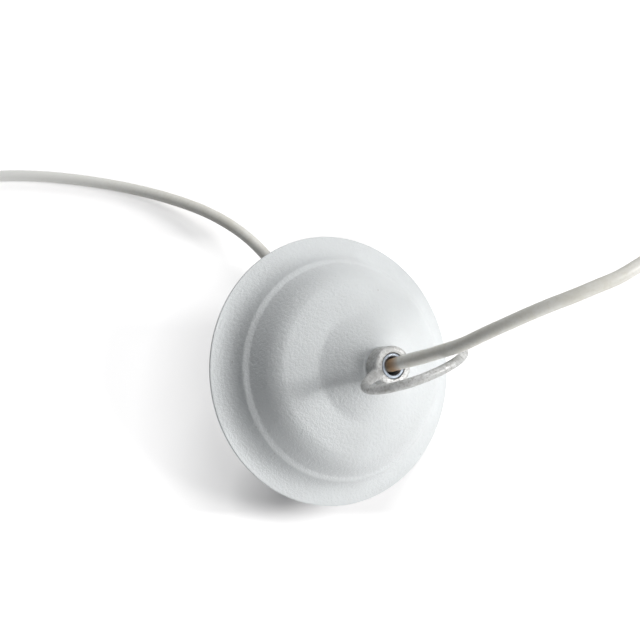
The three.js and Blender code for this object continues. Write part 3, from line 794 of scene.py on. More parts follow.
# %% [markdown]
# A helper moves the outline in along its own normals. The rim's cut edge and the seat's corner
# are softened with a few points each, so that they catch a thin line of light. The dish is then
# spun with 240 segments and given about a tenth of a millimetre of hand-spun unevenness. That is
# too little to see as a shape, but it breaks the perfect gradients of a computed surface.


# %% Build the dish
def inside_of(outline, thickness):
    inner = []
    for i, point in enumerate(outline):
        along = outline[min(i + 1, len(outline) - 1)] - outline[max(i - 1, 0)]
        along.normalize()
        inner.append(Vector((point.x - along.y * thickness, point.y + along.x * thickness)))
    return inner


inner_skin = inside_of(skin[::3], SHEET)
inner_skin[0] = Vector((RIM_RADIUS - 0.6, -0.97))
dish_outline = [
    (RIM_RADIUS - 0.25, -SHEET),
    (RIM_RADIUS - 0.06, -SHEET + 0.1),
    (RIM_RADIUS, -SHEET + 0.3),
    (RIM_RADIUS, -0.3),
    (RIM_RADIUS - 0.07, -0.08),
    (RIM_RADIUS - 0.3, 0.06),
    *[tuple(p) for p in skin[1:-1]],
    (SEAT[0] + 0.12, SEAT[1] - 0.15),
    (SEAT[0] - 0.15, SEAT[1]),
    (THREAD_BORE, SEAT[1]),
    (THREAD_BORE, SEAT[1] - SHEET),
    (SEAT[0] - 0.5, SEAT[1] - SHEET),
    *[tuple(p) for p in reversed(inner_skin[:-2])],
]
dish_points, dish_faces = turned(dish_outline, 240)
for point in dish_points:
    depth = 0.10 * noise.noise(point * 0.07) + 0.035 * noise.noise(point * 0.28) - 0.05
    edge = min(1.0, max(0.0, (RIM_RADIUS - math.hypot(point.x, point.y)) / 4))
    if point.z < SEAT[1] - 1.2:
        point.z += min(0.0, depth) * edge
dish = shape_object("dish", (dish_points, dish_faces), canopy_frame)
finish_piece(dish, canopy_paint, ["canopy_dish"], sharp=50)
print("dish has", len(dish.data.polygons), "faces")

# %% [markdown]
# ## The hanging loop
#
# The loop is one casting: a collar that is screwed on the tube, and an oval ring that grows out
# of the collar's sides and stands across it. The shapes overlap at first. A voxel remesh melts
# them into one skin and a smooth pass rounds the valley between them, which is what a casting
# has there. The ring's ends stop short of the thread's bore, so the bore stays round. Where one
# piece stands on another, a gap of a hair or two is left between them. The tube ends a quarter
# of a millimetre below the collar's face.

# %% Places along the tube
GAP = 0.3
COLLAR_FOOT = SEAT[1] + GAP
COLLAR_FACE = COLLAR_FOOT + 8.0
TUBE_TOP = COLLAR_FACE - 0.25
TUBE_FOOT = TUBE_TOP - 28.0
COLLAR_RADIUS = 8.0
RING_HALF_WIDTH = 20.65
RING_HALF_HEIGHT = 17.05
RING_ROD = 1.9
RING_MIDDLE = COLLAR_FACE + 14.0
RING_TURN = math.radians(-135.8)
RING_TIP = math.radians(4.6)
print("collar from", COLLAR_FOOT, "to", COLLAR_FACE, "and the ring's middle at", RING_MIDDLE)

# %% [markdown]
# The ring's rod is thickest where it leaves the collar, as molten metal needs a wide way in. Its
# radius is a function of the share of the way along: the rod's own size nearly everywhere, and
# a swelling over the first and last tenth. The collar's bore is a little closer than the frame's
# plain one, because its thread grips the tube's and leaves only a hairline open.


# %% Build the loop
def ring_line(root, steps):
    """The oval's line in the canopy's frame, from one side of the collar around to the other."""
    tip = (
        Matrix.Rotation(RING_TURN, 4, "Z")
        @ Matrix.Translation((0, 0, COLLAR_FOOT))
        @ Matrix.Rotation(-RING_TIP, 4, "X")
        @ Matrix.Translation((0, 0, RING_MIDDLE - COLLAR_FOOT))
    )
    sweep = math.pi - 2 * root
    angles = [root + sweep * i / steps for i in range(steps + 1)]
    oval = [(RING_HALF_WIDTH * math.cos(a), 0, RING_HALF_HEIGHT * math.sin(a)) for a in angles]
    return [tip @ Vector(point) for point in oval]


def ring_radius(t):
    root = max(0.0, 1 - min(t, 1 - t) / 0.11)
    return RING_ROD + 0.75 * root * root


ring_root = -math.acos((COLLAR_RADIUS - RING_ROD) / RING_HALF_WIDTH)
COLLAR_BORE = 5.12
collar_outline = [
    (COLLAR_BORE, COLLAR_FOOT),
    (COLLAR_RADIUS - 0.5, COLLAR_FOOT),
    (COLLAR_RADIUS, COLLAR_FOOT + 0.5),
    (COLLAR_RADIUS, COLLAR_FACE - 0.7),
    (COLLAR_RADIUS - 0.2, COLLAR_FACE - 0.25),
    (COLLAR_RADIUS - 0.7, COLLAR_FACE),
    (COLLAR_BORE, COLLAR_FACE),
]
loop_shapes = join_shapes(turned(collar_outline, 128), tube(ring_line(ring_root, 120), ring_radius, 32))
loop = shape_object("loop", loop_shapes, canopy_frame)
melt = loop.modifiers.new("melt", "REMESH")
melt.mode = "VOXEL"
melt.voxel_size = 0.24 * MM
melt.use_smooth_shade = True
ease = loop.modifiers.new("ease", "SMOOTH")
ease.factor = 0.5
ease.iterations = 5
bpy.context.view_layer.update()
apply_modifiers(loop)
print("loop has", len(loop.data.polygons), "faces after the remesh")

# %% [markdown]
# Sand-cast metal is never quite even. Each point of the casting moves along its normal by a few
# hundredths, from a noise with lumps of about three millimetres.

# %% Cast unevenness
upright = canopy_frame.inverted()
normals = [vertex.normal.copy() for vertex in loop.data.vertices]
for vertex, normal in zip(loop.data.vertices, normals):
    spot = (upright @ vertex.co) / MM
    lump = 0.05 * noise.noise(spot * 0.35) + 0.03 * noise.noise(spot * 0.9) - 0.05
    if spot.z > COLLAR_FOOT + 0.8:
        vertex.co += normal * lump * MM
finish_piece(loop, loop_paint, ["hanging_loop"], body="loop", sharp=48)
print("loop's highest point is", round(max(v.co.z for v in loop.data.vertices), 4), "m")

# %% [markdown]
# ## The threaded tube
#
# The tube is a length of M10 thread with a pitch of one millimetre. A thread is easy to fake with
# grooves, but one with a real helix is no harder: the outside is a grid of rows around the tube,
# and each point's radius depends on its height less its share of a turn. The inside is plain.

# %% Build the tube
TUBE_RADIUS = 5.0
TUBE_BORE = 3.75
THREAD_DEPTH = 0.45
THREAD_PITCH = 1.0


def thread_radius(z, angle):
    """Radius of the thread's flank: a blunt triangle wave that fades out at both chamfers."""
    phase = (z / THREAD_PITCH - angle / (2 * math.pi)) % 1.0
    depth = min(1.0, max(0.0, 1.3 * (1 - abs(2 * phase - 1)) - 0.15))
    room = min(1.0, (z - TUBE_FOOT) / 0.9, (TUBE_TOP - z) / 0.9)
    chamfer = max(0.0, 0.5 - (z - TUBE_FOOT), 0.14 - (TUBE_TOP - z))
    return TUBE_RADIUS - max(THREAD_DEPTH * depth * max(0.0, room), chamfer)


tube_angles = [2 * math.pi * i / 72 for i in range(72)]
thread_heights = [TUBE_FOOT + (TUBE_TOP - TUBE_FOOT) * i / 224 for i in range(225)]
tube_rows = [
    [(thread_radius(z, a) * math.cos(a), thread_radius(z, a) * math.sin(a), z) for a in tube_angles]
    for z in thread_heights
]
bore_line = [
    (TUBE_BORE + 0.1, TUBE_TOP), (TUBE_BORE, TUBE_TOP - 0.1),
    (TUBE_BORE, TUBE_FOOT + 0.2), (TUBE_BORE + 0.2, TUBE_FOOT),
]
tube_rows += [circle(r, z, len(tube_angles)) for r, z in bore_line]
threaded_tube = shape_object("tube", rows(tube_rows, along=True), canopy_frame)
finish_piece(threaded_tube, tube_zinc, ["threaded_tube"], sharp=60)
print("the thread has", round((TUBE_TOP - TUBE_FOOT) / THREAD_PITCH), "turns")

# %% [markdown]
# The flex runs through the tube with a millimetre to spare on each side. It starts under the
# tube, just inside the cord grip's end, where the mains side takes over. At the mouth it turns
# into the free cord's own direction and runs on inside its start, a little thinner, so that the
# two pieces read as one sheath with no cut between them.

# %% Flex inside the tube
INNER_START = 12.8
TAPER_FROM, TAPER_SHARE = 0.93, 0.07
mouth, beyond = [(upright @ (point * MM)) / MM for point in lamp_line[:2]]
outward = (beyond - mouth).normalized()
inner_line = smooth_line(
    [
        (0, 0, INNER_START),
        (0, 0, TUBE_FOOT + 2),
        (-0.11, 0.3, (TUBE_FOOT + TUBE_TOP) / 2),
        mouth - 1.6 * outward,
        mouth,
        mouth + 1.2 * outward,
    ],
    1.5,
)


def inner_radius(t):
    """A hair less than the free flex's radius, and less again over the last few hundredths."""
    return FLEX_RADIUS - 0.03 - 0.12 * max(0.0, (t - TAPER_FROM) / TAPER_SHARE)


inner_flex = shape_object("flex_inside", tube(inner_line, inner_radius, 24), canopy_frame)
finish_piece(inner_flex, flex_sheath, ["flex_in_tube"])
print("flex inside the tube:", round(line_length(inner_line), 1), "mm")

# %% [markdown]
# ## Washers and nuts
#
# What clamps the dish and the bracket is stacked on the tube: a flat washer and a toothed one, a
# nut, the bracket, another toothed washer and nut, and the cord grip. Each height follows from
# the one above it, so a piece can be made thicker without moving the others by hand.

# %% Heights of the stack
WASHER_THICKNESS = 1.0
TOOTHED_THICKNESS = 0.8
NUT_THICKNESS = 3.7
STRIP_THICKNESS = 1.5
GRIP_LENGTH = 12.5
washer_foot = SEAT[1] - SHEET - GAP - WASHER_THICKNESS
toothed_foot = washer_foot - GAP - TOOTHED_THICKNESS
nut_foot = toothed_foot - GAP - NUT_THICKNESS
strip_foot = nut_foot - GAP - STRIP_THICKNESS
lower_toothed_foot = strip_foot - GAP - TOOTHED_THICKNESS
lower_nut_foot = lower_toothed_foot - GAP - NUT_THICKNESS
grip_top = lower_nut_foot - GAP
grip_end = grip_top - GRIP_LENGTH
print("the stack goes from", round(washer_foot, 1), "down to", round(grip_end, 1), "mm")

# %% [markdown]
# Flat washers are turned rings. A toothed washer has twelve teeth, each twisted a little so that
# it bites. It is built as rows around the axis, where the outermost points go in and out and up
# and down with the angle.


# %% Washers
def toothed_washer(z, outer=7.8, teeth=12, steps=16):
    """A ring with its lower face near z, whose outer edge goes in and out and up and down."""
    lines = []
    angles = [2 * math.pi * i / (teeth * steps) for i in range(teeth * steps)]
    middle = z + TOOTHED_THICKNESS / 2
    for r, side in ((THREAD_BORE, -1), (6.5, -1), (outer, -1), (outer, 1), (6.5, 1), (THREAD_BORE, 1)):
        line = []
        for i, a in enumerate(angles):
            phase = (i % steps) / steps
            twist = 0.14 * math.sin(2 * math.pi * min(phase * 2, 1.0)) if r == outer else 0.0
            reach = r - 1.0 if r == outer and phase >= 0.5 else r
            line.append((reach * math.cos(a), reach * math.sin(a), middle + side * 0.25 + twist))
        lines.append(line)
    return rows(lines, along=True)


washer_ring = ring_shape(7.5, THREAD_BORE, washer_foot, WASHER_THICKNESS, 0.15)
washer = shape_object("washer", washer_ring, canopy_frame)
finish_piece(washer, nut_zinc, ["dish_washer"])
toothed_feet = {"dish_toothed_washer": toothed_foot, "bracket_toothed_washer": lower_toothed_foot}
for name, foot in toothed_feet.items():
    bite = shape_object(name.replace("washer", "ring"), toothed_washer(foot), canopy_frame)
    finish_piece(bite, nut_zinc, [name])
print("washers at", round(washer_foot, 1), round(toothed_foot, 1), round(lower_toothed_foot, 1))

# %% [markdown]
# A nut's corners are cut by a shallow cone, which leaves the curved lines seen on every nut.
# Each point takes the smaller of two radii: the hexagon's at its angle, or the cone's at its
# height. Cutting a prism with a cone would give the same form, but with untidy faces.


# %% Nuts
def nut_shape(flats, bore, z, thickness, segments=120):
    """A hexagon nut of this size across its flats, its lower face at z."""
    lower = [h * thickness * 0.4 for h in (0, 0.06, 0.14, 0.24, 0.36, 0.5)]
    heights = [*lower, *[thickness - h for h in reversed(lower)]]
    angles = [2 * math.pi * i / segments for i in range(segments)]
    lines = []
    for h in heights:
        cone = flats / 2 * 0.96 + min(h, thickness - h) * 1.9
        line = []
        for a in angles:
            across = (a % (math.pi / 3)) - math.pi / 6
            reach = min(flats / 2 / math.cos(across), cone)
            line.append((reach * math.cos(a), reach * math.sin(a), z + h))
        lines.append(line)
    for r, h in ((bore + 0.4, thickness), (bore, thickness - 0.4), (bore, 0.4), (bore + 0.4, 0)):
        lines.append(circle(r, z + h, segments))
    return rows(lines, along=True)


for name, foot in {"dish_nut": nut_foot, "bracket_nut": lower_nut_foot}.items():
    hexagon = nut_shape(14, THREAD_BORE, foot, NUT_THICKNESS)
    nut = shape_object(name.replace("nut", "hexagon_nut"), hexagon, canopy_frame)
    finish_piece(nut, nut_zinc, [name], sharp=30)
print("nuts at", round(nut_foot, 1), round(lower_nut_foot, 1))

# %% [markdown]
# ## The ceiling bracket
#
# The bracket is a hat-shaped strip: the tube is clamped in its crown and its two feet are screwed
# to the ceiling through slots. It is bent from flat strip, so its bends are round. The strip's
# middle line gets a fillet at each bend, and a flat section with soft corners is swept along it.
# The last points lie close together, where the section narrows to round the foot.

# %% Line of the bracket
STRIP_WIDTH = 18.0
FOOT_START, FOOT_END = 29.0, 44.0
FOOT_MIDDLE = (FOOT_START + FOOT_END) / 2
TOP_HALF = 10.5
leg_line = Vector((FOOT_START - TOP_HALF, STRIP_THICKNESS - (strip_foot + STRIP_THICKNESS)))
leg_drop = math.atan2(-leg_line.y, leg_line.x)
half_miter = STRIP_THICKNESS / 2 * math.tan(leg_drop / 2)
half_line = [
    Vector((0, strip_foot + STRIP_THICKNESS / 2)),
    Vector((TOP_HALF - half_miter, strip_foot + STRIP_THICKNESS / 2)),
    Vector((FOOT_START - half_miter, STRIP_THICKNESS / 2)),
    Vector((FOOT_END, STRIP_THICKNESS / 2)),
]


def filleted(corners, reach, steps):
    """A line through the corners, each inner one replaced by a quadratic arc of that reach."""
    line = [corners[0]]
    for a, b, c in zip(corners, corners[1:], corners[2:]):
        start, stop = b + (a - b).normalized() * reach, b + (c - b).normalized() * reach
        for i in range(steps + 1):
            t = i / steps
            line.append((1 - t) ** 2 * start + 2 * t * (1 - t) * b + t * t * stop)
    return [*line, corners[-1]]


BEND_REACH = 2.4
half_bent = filleted(half_line, BEND_REACH, 8)
foot_end = half_bent.pop()
half_bent += [foot_end - Vector((d, 0)) for d in (4, 3, 2, 1.2, 0.6, 0.2, 0)]
bent = [Vector((-p.x, p.y)) for p in reversed(half_bent[1:])] + half_bent
print("the bracket's strip is", round(line_length(bent), 1), "mm long")

# %% [markdown]
# The section is swept by hand: at each point the normal of the line gives the strip's thickness
# and the Y axis its width. Near the end of a foot the width follows a circle.

# %% Sweep the strip
FOOT_ROUND = 4


def strip_section(point, normal, width):
    """Eight points around the strip: two at each corner of its section."""
    half, edge = STRIP_THICKNESS / 2, 0.25
    line = []
    for side, face in [(-1, -1), (1, -1), (1, 1), (-1, 1)]:
        for dy, dn in ((edge, 0), (0, edge)) if side * face > 0 else ((0, edge), (edge, 0)):
            n = face * (half - dn)
            line.append((point.x + normal.x * n, side * (width / 2 - dy), point.y + normal.y * n))
    return line


sections = []
for i, point in enumerate(bent):
    along = (bent[min(i + 1, len(bent) - 1)] - bent[max(i - 1, 0)]).normalized()
    to_end = max(0.0, FOOT_ROUND - (FOOT_END - abs(point.x)))
    width = STRIP_WIDTH - 2 * (FOOT_ROUND - math.sqrt(FOOT_ROUND**2 - to_end * to_end))
    sections.append(strip_section(point, Vector((-along.y, along.x)), width))
strip_points, strip_faces = rows(sections)
count = len(sections[0])
strip_faces += [list(range(count)), [len(strip_points) - 1 - i for i in range(count)]]
bracket = shape_object("bracket", (strip_points, strip_faces), bracket_frame)
print("the strip has", len(sections), "sections")

# %% [markdown]
# Then the holes are cut: one for the tube, one for the earth screw and a slot in each foot. A
# narrow bevel takes the burr off every edge, as tumbling does.

# %% Cut the bracket's holes
SLOT_HALF = 3
SLOT_RADIUS = 2.5
EARTH_BORE = 2.3
LEG_SHARE = 0.48


def rod_shape(radius, foot, top, segments=40):
    return turned([(0, foot), (radius, foot), (radius, top), (0, top)], segments)


def slot_shape(middle, segments=40):
    """A bar with round ends along X, for cutting a foot's slot."""
    ends = []
    for x, y, _ in circle(1.0, 0, segments):
        side = 1 if x > 0 else -1
        ends.append((middle + side * SLOT_HALF + SLOT_RADIUS * x, SLOT_RADIUS * y))
    points, faces = rows([[(x, y, z) for x, y in ends] for z in (-2, 4)])
    lower_end, upper_end = list(range(segments)), list(range(segments, 2 * segments))
    return points, [*faces, lower_end[::-1], upper_end]


leg_place = Vector((TOP_HALF, strip_foot + STRIP_THICKNESS)) + LEG_SHARE * leg_line
on_leg = Matrix.Translation((leg_place.x, 0, leg_place.y)) @ Matrix.Rotation(leg_drop, 4, "Y")
bracket_holes = {
    "tube_hole": rod_shape(THREAD_BORE, strip_foot - 3, strip_foot + 5, 64),
    "slot_a": slot_shape(FOOT_MIDDLE),
    "slot_b": slot_shape(-FOOT_MIDDLE),
    "earth_hole": moved(rod_shape(EARTH_BORE, -4, 3), on_leg),
}
carve(bracket, *[shape_object(name, shape, bracket_frame) for name, shape in bracket_holes.items()])
soften(bracket, 0.12)
finish_piece(bracket, bracket_steel, ["ceiling_bracket"], sharp=30)
print("bracket has", len(bracket.data.polygons), "faces")

# %% [markdown]
# ## The earth screw
#
# Slotted screws hold the earth wire, the flex and the cores. One helper makes them all: a flat
# tip, a real thread by the same rule as the tube's, and the head's own outline on top. The slot
# is cut across the head afterwards, with a plain bar.


# %% Screws
def thread_rows(radius, depth, pitch, foot, top, segments=40):
    """Rows of an outside thread between two heights, its crests at the radius."""
    count = max(2, round((top - foot) / pitch * 8))
    lines = []
    for j in range(count + 1):
        z = foot + (top - foot) * j / count
        line = []
        for i in range(segments):
            a = 2 * math.pi * i / segments
            phase = (z / pitch - i / segments) % 1.0
            fade = min(1.0, max(0.0, (z - foot) / pitch), max(0.0, (top - z) / pitch))
            r = radius - depth * fade * min(1.0, max(0.0, 1.3 * (1 - abs(2 * phase - 1)) - 0.15))
            line.append((r * math.cos(a), r * math.sin(a), z))
        lines.append(line)
    return lines


def screw_shape(radius, pitch, foot, neck, head, segments=40):
    """A screw with its thread from foot to neck, then its head as an outline of (radius, height)."""
    lines = [circle(radius - 0.3, foot, segments)]
    lines += thread_rows(radius, pitch * 0.5, pitch, foot + 0.3, neck, segments)
    lines += [circle(r, z, segments) for r, z in head]
    points, faces = rows(lines)
    last = (len(lines) - 1) * segments
    return points, [*faces, list(range(segments))[::-1], list(range(last, last + segments))]


def bar_shape(length, width, low, high):
    """A plain bar across the Z axis, for cutting a screw's slot."""
    corners = [(-length, -width), (length, -width), (length, width), (-length, width)]
    points, faces = rows([[(x / 2, y / 2, z) for x, y in corners] for z in (low, high)])
    return points, [*faces, [3, 2, 1, 0], [4, 5, 6, 7]]


print("screw helpers are ready")

# %% [markdown]
# A brass screw clamps the earth wire to the bracket's leg. It has a cheese head, a cup washer
# that keeps the wire under that head, and a small nut behind the leg.

# %% Earth screw, cup washer and nut
leg_frame = (
    bracket_frame
    @ Matrix.Translation(on_leg.to_translation() * MM)
    @ Matrix.Rotation(leg_drop, 4, "Y")
)
earth_brass = metal_finish("earth_screw_brass", (0.72, 0.55, 0.27), (0.50, 0.36, 0.16), 0.32, leg_frame)
SCREW_RADIUS = 2
EARTH_SCREW_LENGTH = 10
head_foot = 1.6
head_outline = [
    (3.4, head_foot), (3.6, head_foot + 0.2), (3.6, head_foot + 1.3), (3.3, head_foot + 1.8),
    (2.6, head_foot + 2.15), (1.8, head_foot + 2.4),
]
screw_body = screw_shape(SCREW_RADIUS, 0.7, head_foot - EARTH_SCREW_LENGTH, head_foot, head_outline)
earth_screw = shape_object("earth_clamp_screw", screw_body, leg_frame)
carve(earth_screw, shape_object("slot", bar_shape(9, 1.0, head_foot + 1.1, head_foot + 4), leg_frame))
finish_piece(earth_screw, earth_brass, ["earth_screw"], sharp=30)
cup_outline = rounded(
    [(EARTH_BORE, 0.3), (4.2, 0.3), (4.5, 0.6), (4.5, 1.3), (3.9, 1.3), (3.6, 0.8), (EARTH_BORE, 0.8)],
    0.15,
)
cup = shape_object("earth_cup", turned(cup_outline, 64), leg_frame)
finish_piece(cup, earth_brass, ["earth_cup_washer"])
earth_nut = shape_object("earth_hexagon_nut", nut_shape(7, EARTH_BORE, -4.8, 3.0), leg_frame)
finish_piece(earth_nut, earth_brass, ["earth_nut"], sharp=30)
print("faces of the earth screw:", len(earth_screw.data.polygons))

# %% [markdown]
# ## The cord grip
#
# Under the bracket a moulded grip is screwed on the tube's lower end. A plastic screw presses on
# the flex, so that the lamp's weight hangs on the grip and not on the wires. Fine ribs run along
# its outside for the fingers. They are made by letting the radius go in and out with the angle.


# %% Build the cord grip
def ribbed(outline, ribs, depth, low, high, wall, steps=4):
    """A turned solid whose wall, at this radius, carries ribs between two heights."""
    segments = ribs * steps
    lines = []
    for r, z in outline:
        on_wall = abs(r - wall) < 0.01 and low <= z <= high
        line = []
        for i in range(segments):
            a = 2 * math.pi * i / segments
            dip = depth * (0.5 - 0.5 * math.cos(2 * math.pi * (i % steps) / steps)) if on_wall else 0.0
            line.append(((r - dip) * math.cos(a), (r - dip) * math.sin(a), z))
        lines.append(line)
    return rows(lines, along=True)


GRIP_RADIUS = 7.5
grip_step = TUBE_FOOT - GAP
grip_outline = [
    (FLEX_RADIUS + 0.3, grip_end + 0.2), (FLEX_RADIUS + 0.6, grip_end), (GRIP_RADIUS - 1.0, grip_end),
    (GRIP_RADIUS - 0.35, grip_end + 0.3), (GRIP_RADIUS, grip_end + 1.0), (GRIP_RADIUS, grip_end + 5.9),
    (GRIP_RADIUS, grip_end + 6.2), (GRIP_RADIUS, grip_top - 1.5), (GRIP_RADIUS, grip_top - 1.2),
    (GRIP_RADIUS, grip_top - 0.8), (GRIP_RADIUS - 0.3, grip_top - 0.2), (GRIP_RADIUS - 0.8, grip_top),
    (THREAD_BORE + 0.3, grip_top), (THREAD_BORE, grip_top - 0.3), (THREAD_BORE, grip_step),
    (FLEX_RADIUS + 0.3, grip_step),
]
grip_body = ribbed(grip_outline, 30, 0.35, grip_end + 6.1, grip_top - 1.4, GRIP_RADIUS)
grip = shape_object("grip", grip_body, canopy_frame)
grip_screw_frame = (
    canopy_frame
    @ Matrix.Rotation(math.radians(BRACKET_TURN + 90), 4, "Z")
    @ Matrix.Translation((0, 0, (grip_end + 3) * MM))
    @ Matrix.Rotation(math.pi / 2, 4, "Y")
)
screw_hole = rod_shape(SCREW_RADIUS + 0.3, FLEX_RADIUS - 0.5, 12)
carve(grip, shape_object("screw_hole", screw_hole, grip_screw_frame))
finish_piece(grip, white_plastic, ["cord_grip"], sharp=35)
head_at = GRIP_RADIUS + GAP
screw_head = [(2.6, head_at), (3.0, head_at + 0.25), (3.0, head_at + 2.0), (2.7, head_at + 2.4)]
screw_body = screw_shape(SCREW_RADIUS, 0.9, FLEX_RADIUS + GAP, head_at, screw_head)
grip_screw = shape_object("grip_screw", screw_body, grip_screw_frame)
carve(grip_screw, shape_object("slot", bar_shape(8, 0.9, head_at + 1.3, head_at + 4), grip_screw_frame))
finish_piece(grip_screw, white_plastic, ["cord_grip_screw"], sharp=35)
print("grip from", round(grip_end, 1), "to", round(grip_top, 1))

# %% [markdown]
# ## The terminal block
#
# The mains end of the flex stops at a three-pole terminal block. Its own frame lies at the end
# of the sheath: X runs on from the flex, Y goes across the poles and Z is up.

# %% Frame of the terminal block
CORE_RADIUS = 1.15
CORE_PITCH = 8.0
BLOCK_LENGTH = 20.0
BLOCK_HEIGHT = 12.0
FAN_LENGTH = 17.0
TUNNEL_HALF = 8
TUNNEL_HEIGHT = 4.5
TUNNEL_RADIUS = 2.6
TUNNEL_BORE = 1.7
SCREW_PLACE = 4.6
WELL_RADIUS = 2.2
CORNER = 0.35
block_middle = FAN_LENGTH + BLOCK_LENGTH / 2
mains_end = Vector(mains_route[-1])
heading = mains_end - Vector(mains_route[-2])
block_frame = Matrix.Translation((mains_end.x * MM, mains_end.y * MM, 0)) @ Matrix.Rotation(
    math.atan2(heading.y, heading.x), 4, "Z"
)
POLES = (-1, 0, 1)


def along_pole(shape, pole):
    """Lays a shape that stands on Z along the block's X, at a pole's tunnel."""
    place = Matrix.Translation((block_middle, pole * CORE_PITCH, TUNNEL_HEIGHT))
    return moved(shape, place @ Matrix.Rotation(math.pi / 2, 4, "Y"))


def on_pole(shape, pole, side):
    """Stands a shape at one of a pole's two screws."""
    return moved(shape, Matrix.Translation((block_middle + side * SCREW_PLACE, pole * CORE_PITCH, 0)))


print("the block's middle is", block_middle, "mm beyond the end of the sheath")

# %% [markdown]
# The milky body is cut from a block: a tunnel for each pole, two screw wells in each, and a
# groove between poles where the moulding is thin. A bevel after such cuts often fails on the
# small edges that they leave, so the block is rounded first: its outline has arcs, and its end
# slices are smaller.

# %% Body of the terminal block
wide, high = 3 * CORE_PITCH / 2, BLOCK_HEIGHT
side_line = [(-wide, 0), (wide, 0), (wide, high)]
for groove in (0.5 * CORE_PITCH, -0.5 * CORE_PITCH):
    groove_floor = high - 4.5
    side_line += [(groove + 0.7, high), (groove + 0.5, groove_floor)]
    side_line += [(groove - 0.5, groove_floor), (groove - 0.7, high)]
side_line.append((-wide, high))
side_line = rounded(side_line, 0.4)
slices = []
near_slices = [(0, CORNER), (0.1, 0.1), (CORNER, 0)]
far_slices = [(BLOCK_LENGTH - x, inset) for x, inset in reversed(near_slices)]
for x, inset in near_slices + far_slices:
    across, up = 1 - inset / wide, 1 - 2 * inset / high
    slices.append([(FAN_LENGTH + x, y * across, inset + z * up) for y, z in side_line])
block_points, block_faces = rows(slices)
count, last = len(side_line), len(block_points) - len(side_line)
block_faces += [list(range(count))[::-1], list(range(last, last + count))]
block = shape_object("block", (block_points, block_faces), block_frame)
hollow_half = TUNNEL_HALF + GAP
tunnel_hollow = rod_shape(TUNNEL_RADIUS + GAP, -hollow_half, hollow_half, 32)
tunnels = [along_pole(tunnel_hollow, pole) for pole in POLES]
entries = [along_pole(rod_shape(TUNNEL_BORE + 0.4, -12, 12, 32), pole) for pole in POLES]
well = rod_shape(WELL_RADIUS, TUNNEL_HEIGHT, BLOCK_HEIGHT + 2, 32)
wells = [on_pole(well, pole, side) for pole in POLES for side in (-1, 1)]
carve(block, *[shape_object("hollow", shape, block_frame) for shape in (*tunnels, *entries, *wells)])
finish_piece(block, block_plastic, ["terminal_block"], sharp=35)
print("block has", len(block.data.polygons), "faces")

# %% [markdown]
# Each pole is a short brass tube that lies in its tunnel, with two small slotted screws. The screw
# on the flex's side is turned down on its core, and the other stands higher, ready for the
# house's wire.

# %% Tunnels and screws
terminal_brass = metal_finish(
    "terminal_nickel_brass", (0.74, 0.59, 0.32), (0.55, 0.42, 0.2), 0.34, block_frame
)
terminal_zinc = metal_finish(
    "terminal_screw_zinc", (0.68, 0.69, 0.71), (0.52, 0.52, 0.52), 0.3, block_frame
)
bar_outline = [
    (TUNNEL_BORE, -TUNNEL_HALF), (TUNNEL_RADIUS, -TUNNEL_HALF),
    (TUNNEL_RADIUS, TUNNEL_HALF), (TUNNEL_BORE, TUNNEL_HALF),
]
pole_bar = turned(rounded(bar_outline, 0.2), 40)
screw_bore = rod_shape(1.45, TUNNEL_HEIGHT, BLOCK_HEIGHT)
for number, pole in enumerate(POLES, 1):
    bar = shape_object(f"pole_{number}", along_pole(pole_bar, pole), block_frame)
    carve(bar, *[
        shape_object("hole", on_pole(screw_bore, pole, side), block_frame) for side in (-1, 1)
    ])
    finish_piece(bar, terminal_brass, [f"terminal_tunnel_{number}"], sharp=35)
    for side, letter in ((-1, "a"), (1, "b")):
        tip = TUNNEL_HEIGHT + (0.7 * CORE_RADIUS if side < 0 else 0)
        top = tip + 4.6
        cap_line = [(1.3, top - 0.15), (1.15, top)]
        body = on_pole(screw_shape(1.3, 0.5, tip, top - 0.6, cap_line, 28), pole, side)
        screw = shape_object(f"pole_{number}_screw_{letter}", body, block_frame)
        slot = on_pole(bar_shape(4, 0.5, top - 0.8, top + 1), pole, side)
        carve(screw, shape_object("slot", slot, block_frame))
        finish_piece(screw, terminal_zinc, [f"terminal_screw_{number}{letter}"], sharp=35)

# %% [markdown]
# Three cores fan out of the sheath into the poles: brown, green and yellow, and blue. Inside a
# round flex the three lie twisted in a triangle, so each starts at its own corner of it. The
# earth core's two colours part along its middle, where Y is 0 in the block's own frame.


# %% Cores
def core_line(pole, corner):
    """From a core's corner in the round flex to its pole. The corner is an angle."""
    spread = 2 * (CORE_RADIUS + 0.15) / math.sqrt(3)
    start_y, start_z = spread * math.cos(corner), FLEX_RADIUS + spread * math.sin(corner)
    across = pole * CORE_PITCH
    core_end = block_middle - SCREW_PLACE - 1.6
    return smooth_line(
        [
            (-0.05, start_y, start_z),
            (1.2, start_y, start_z),
            (FAN_LENGTH * 0.25, start_y + (across - start_y) * 0.2, start_z + 0.2),
            (FAN_LENGTH * 0.65, across * 0.85, TUNNEL_HEIGHT * 0.92),
            (FAN_LENGTH, across, TUNNEL_HEIGHT),
            (core_end, across, TUNNEL_HEIGHT),
        ],
        0.6,
    )


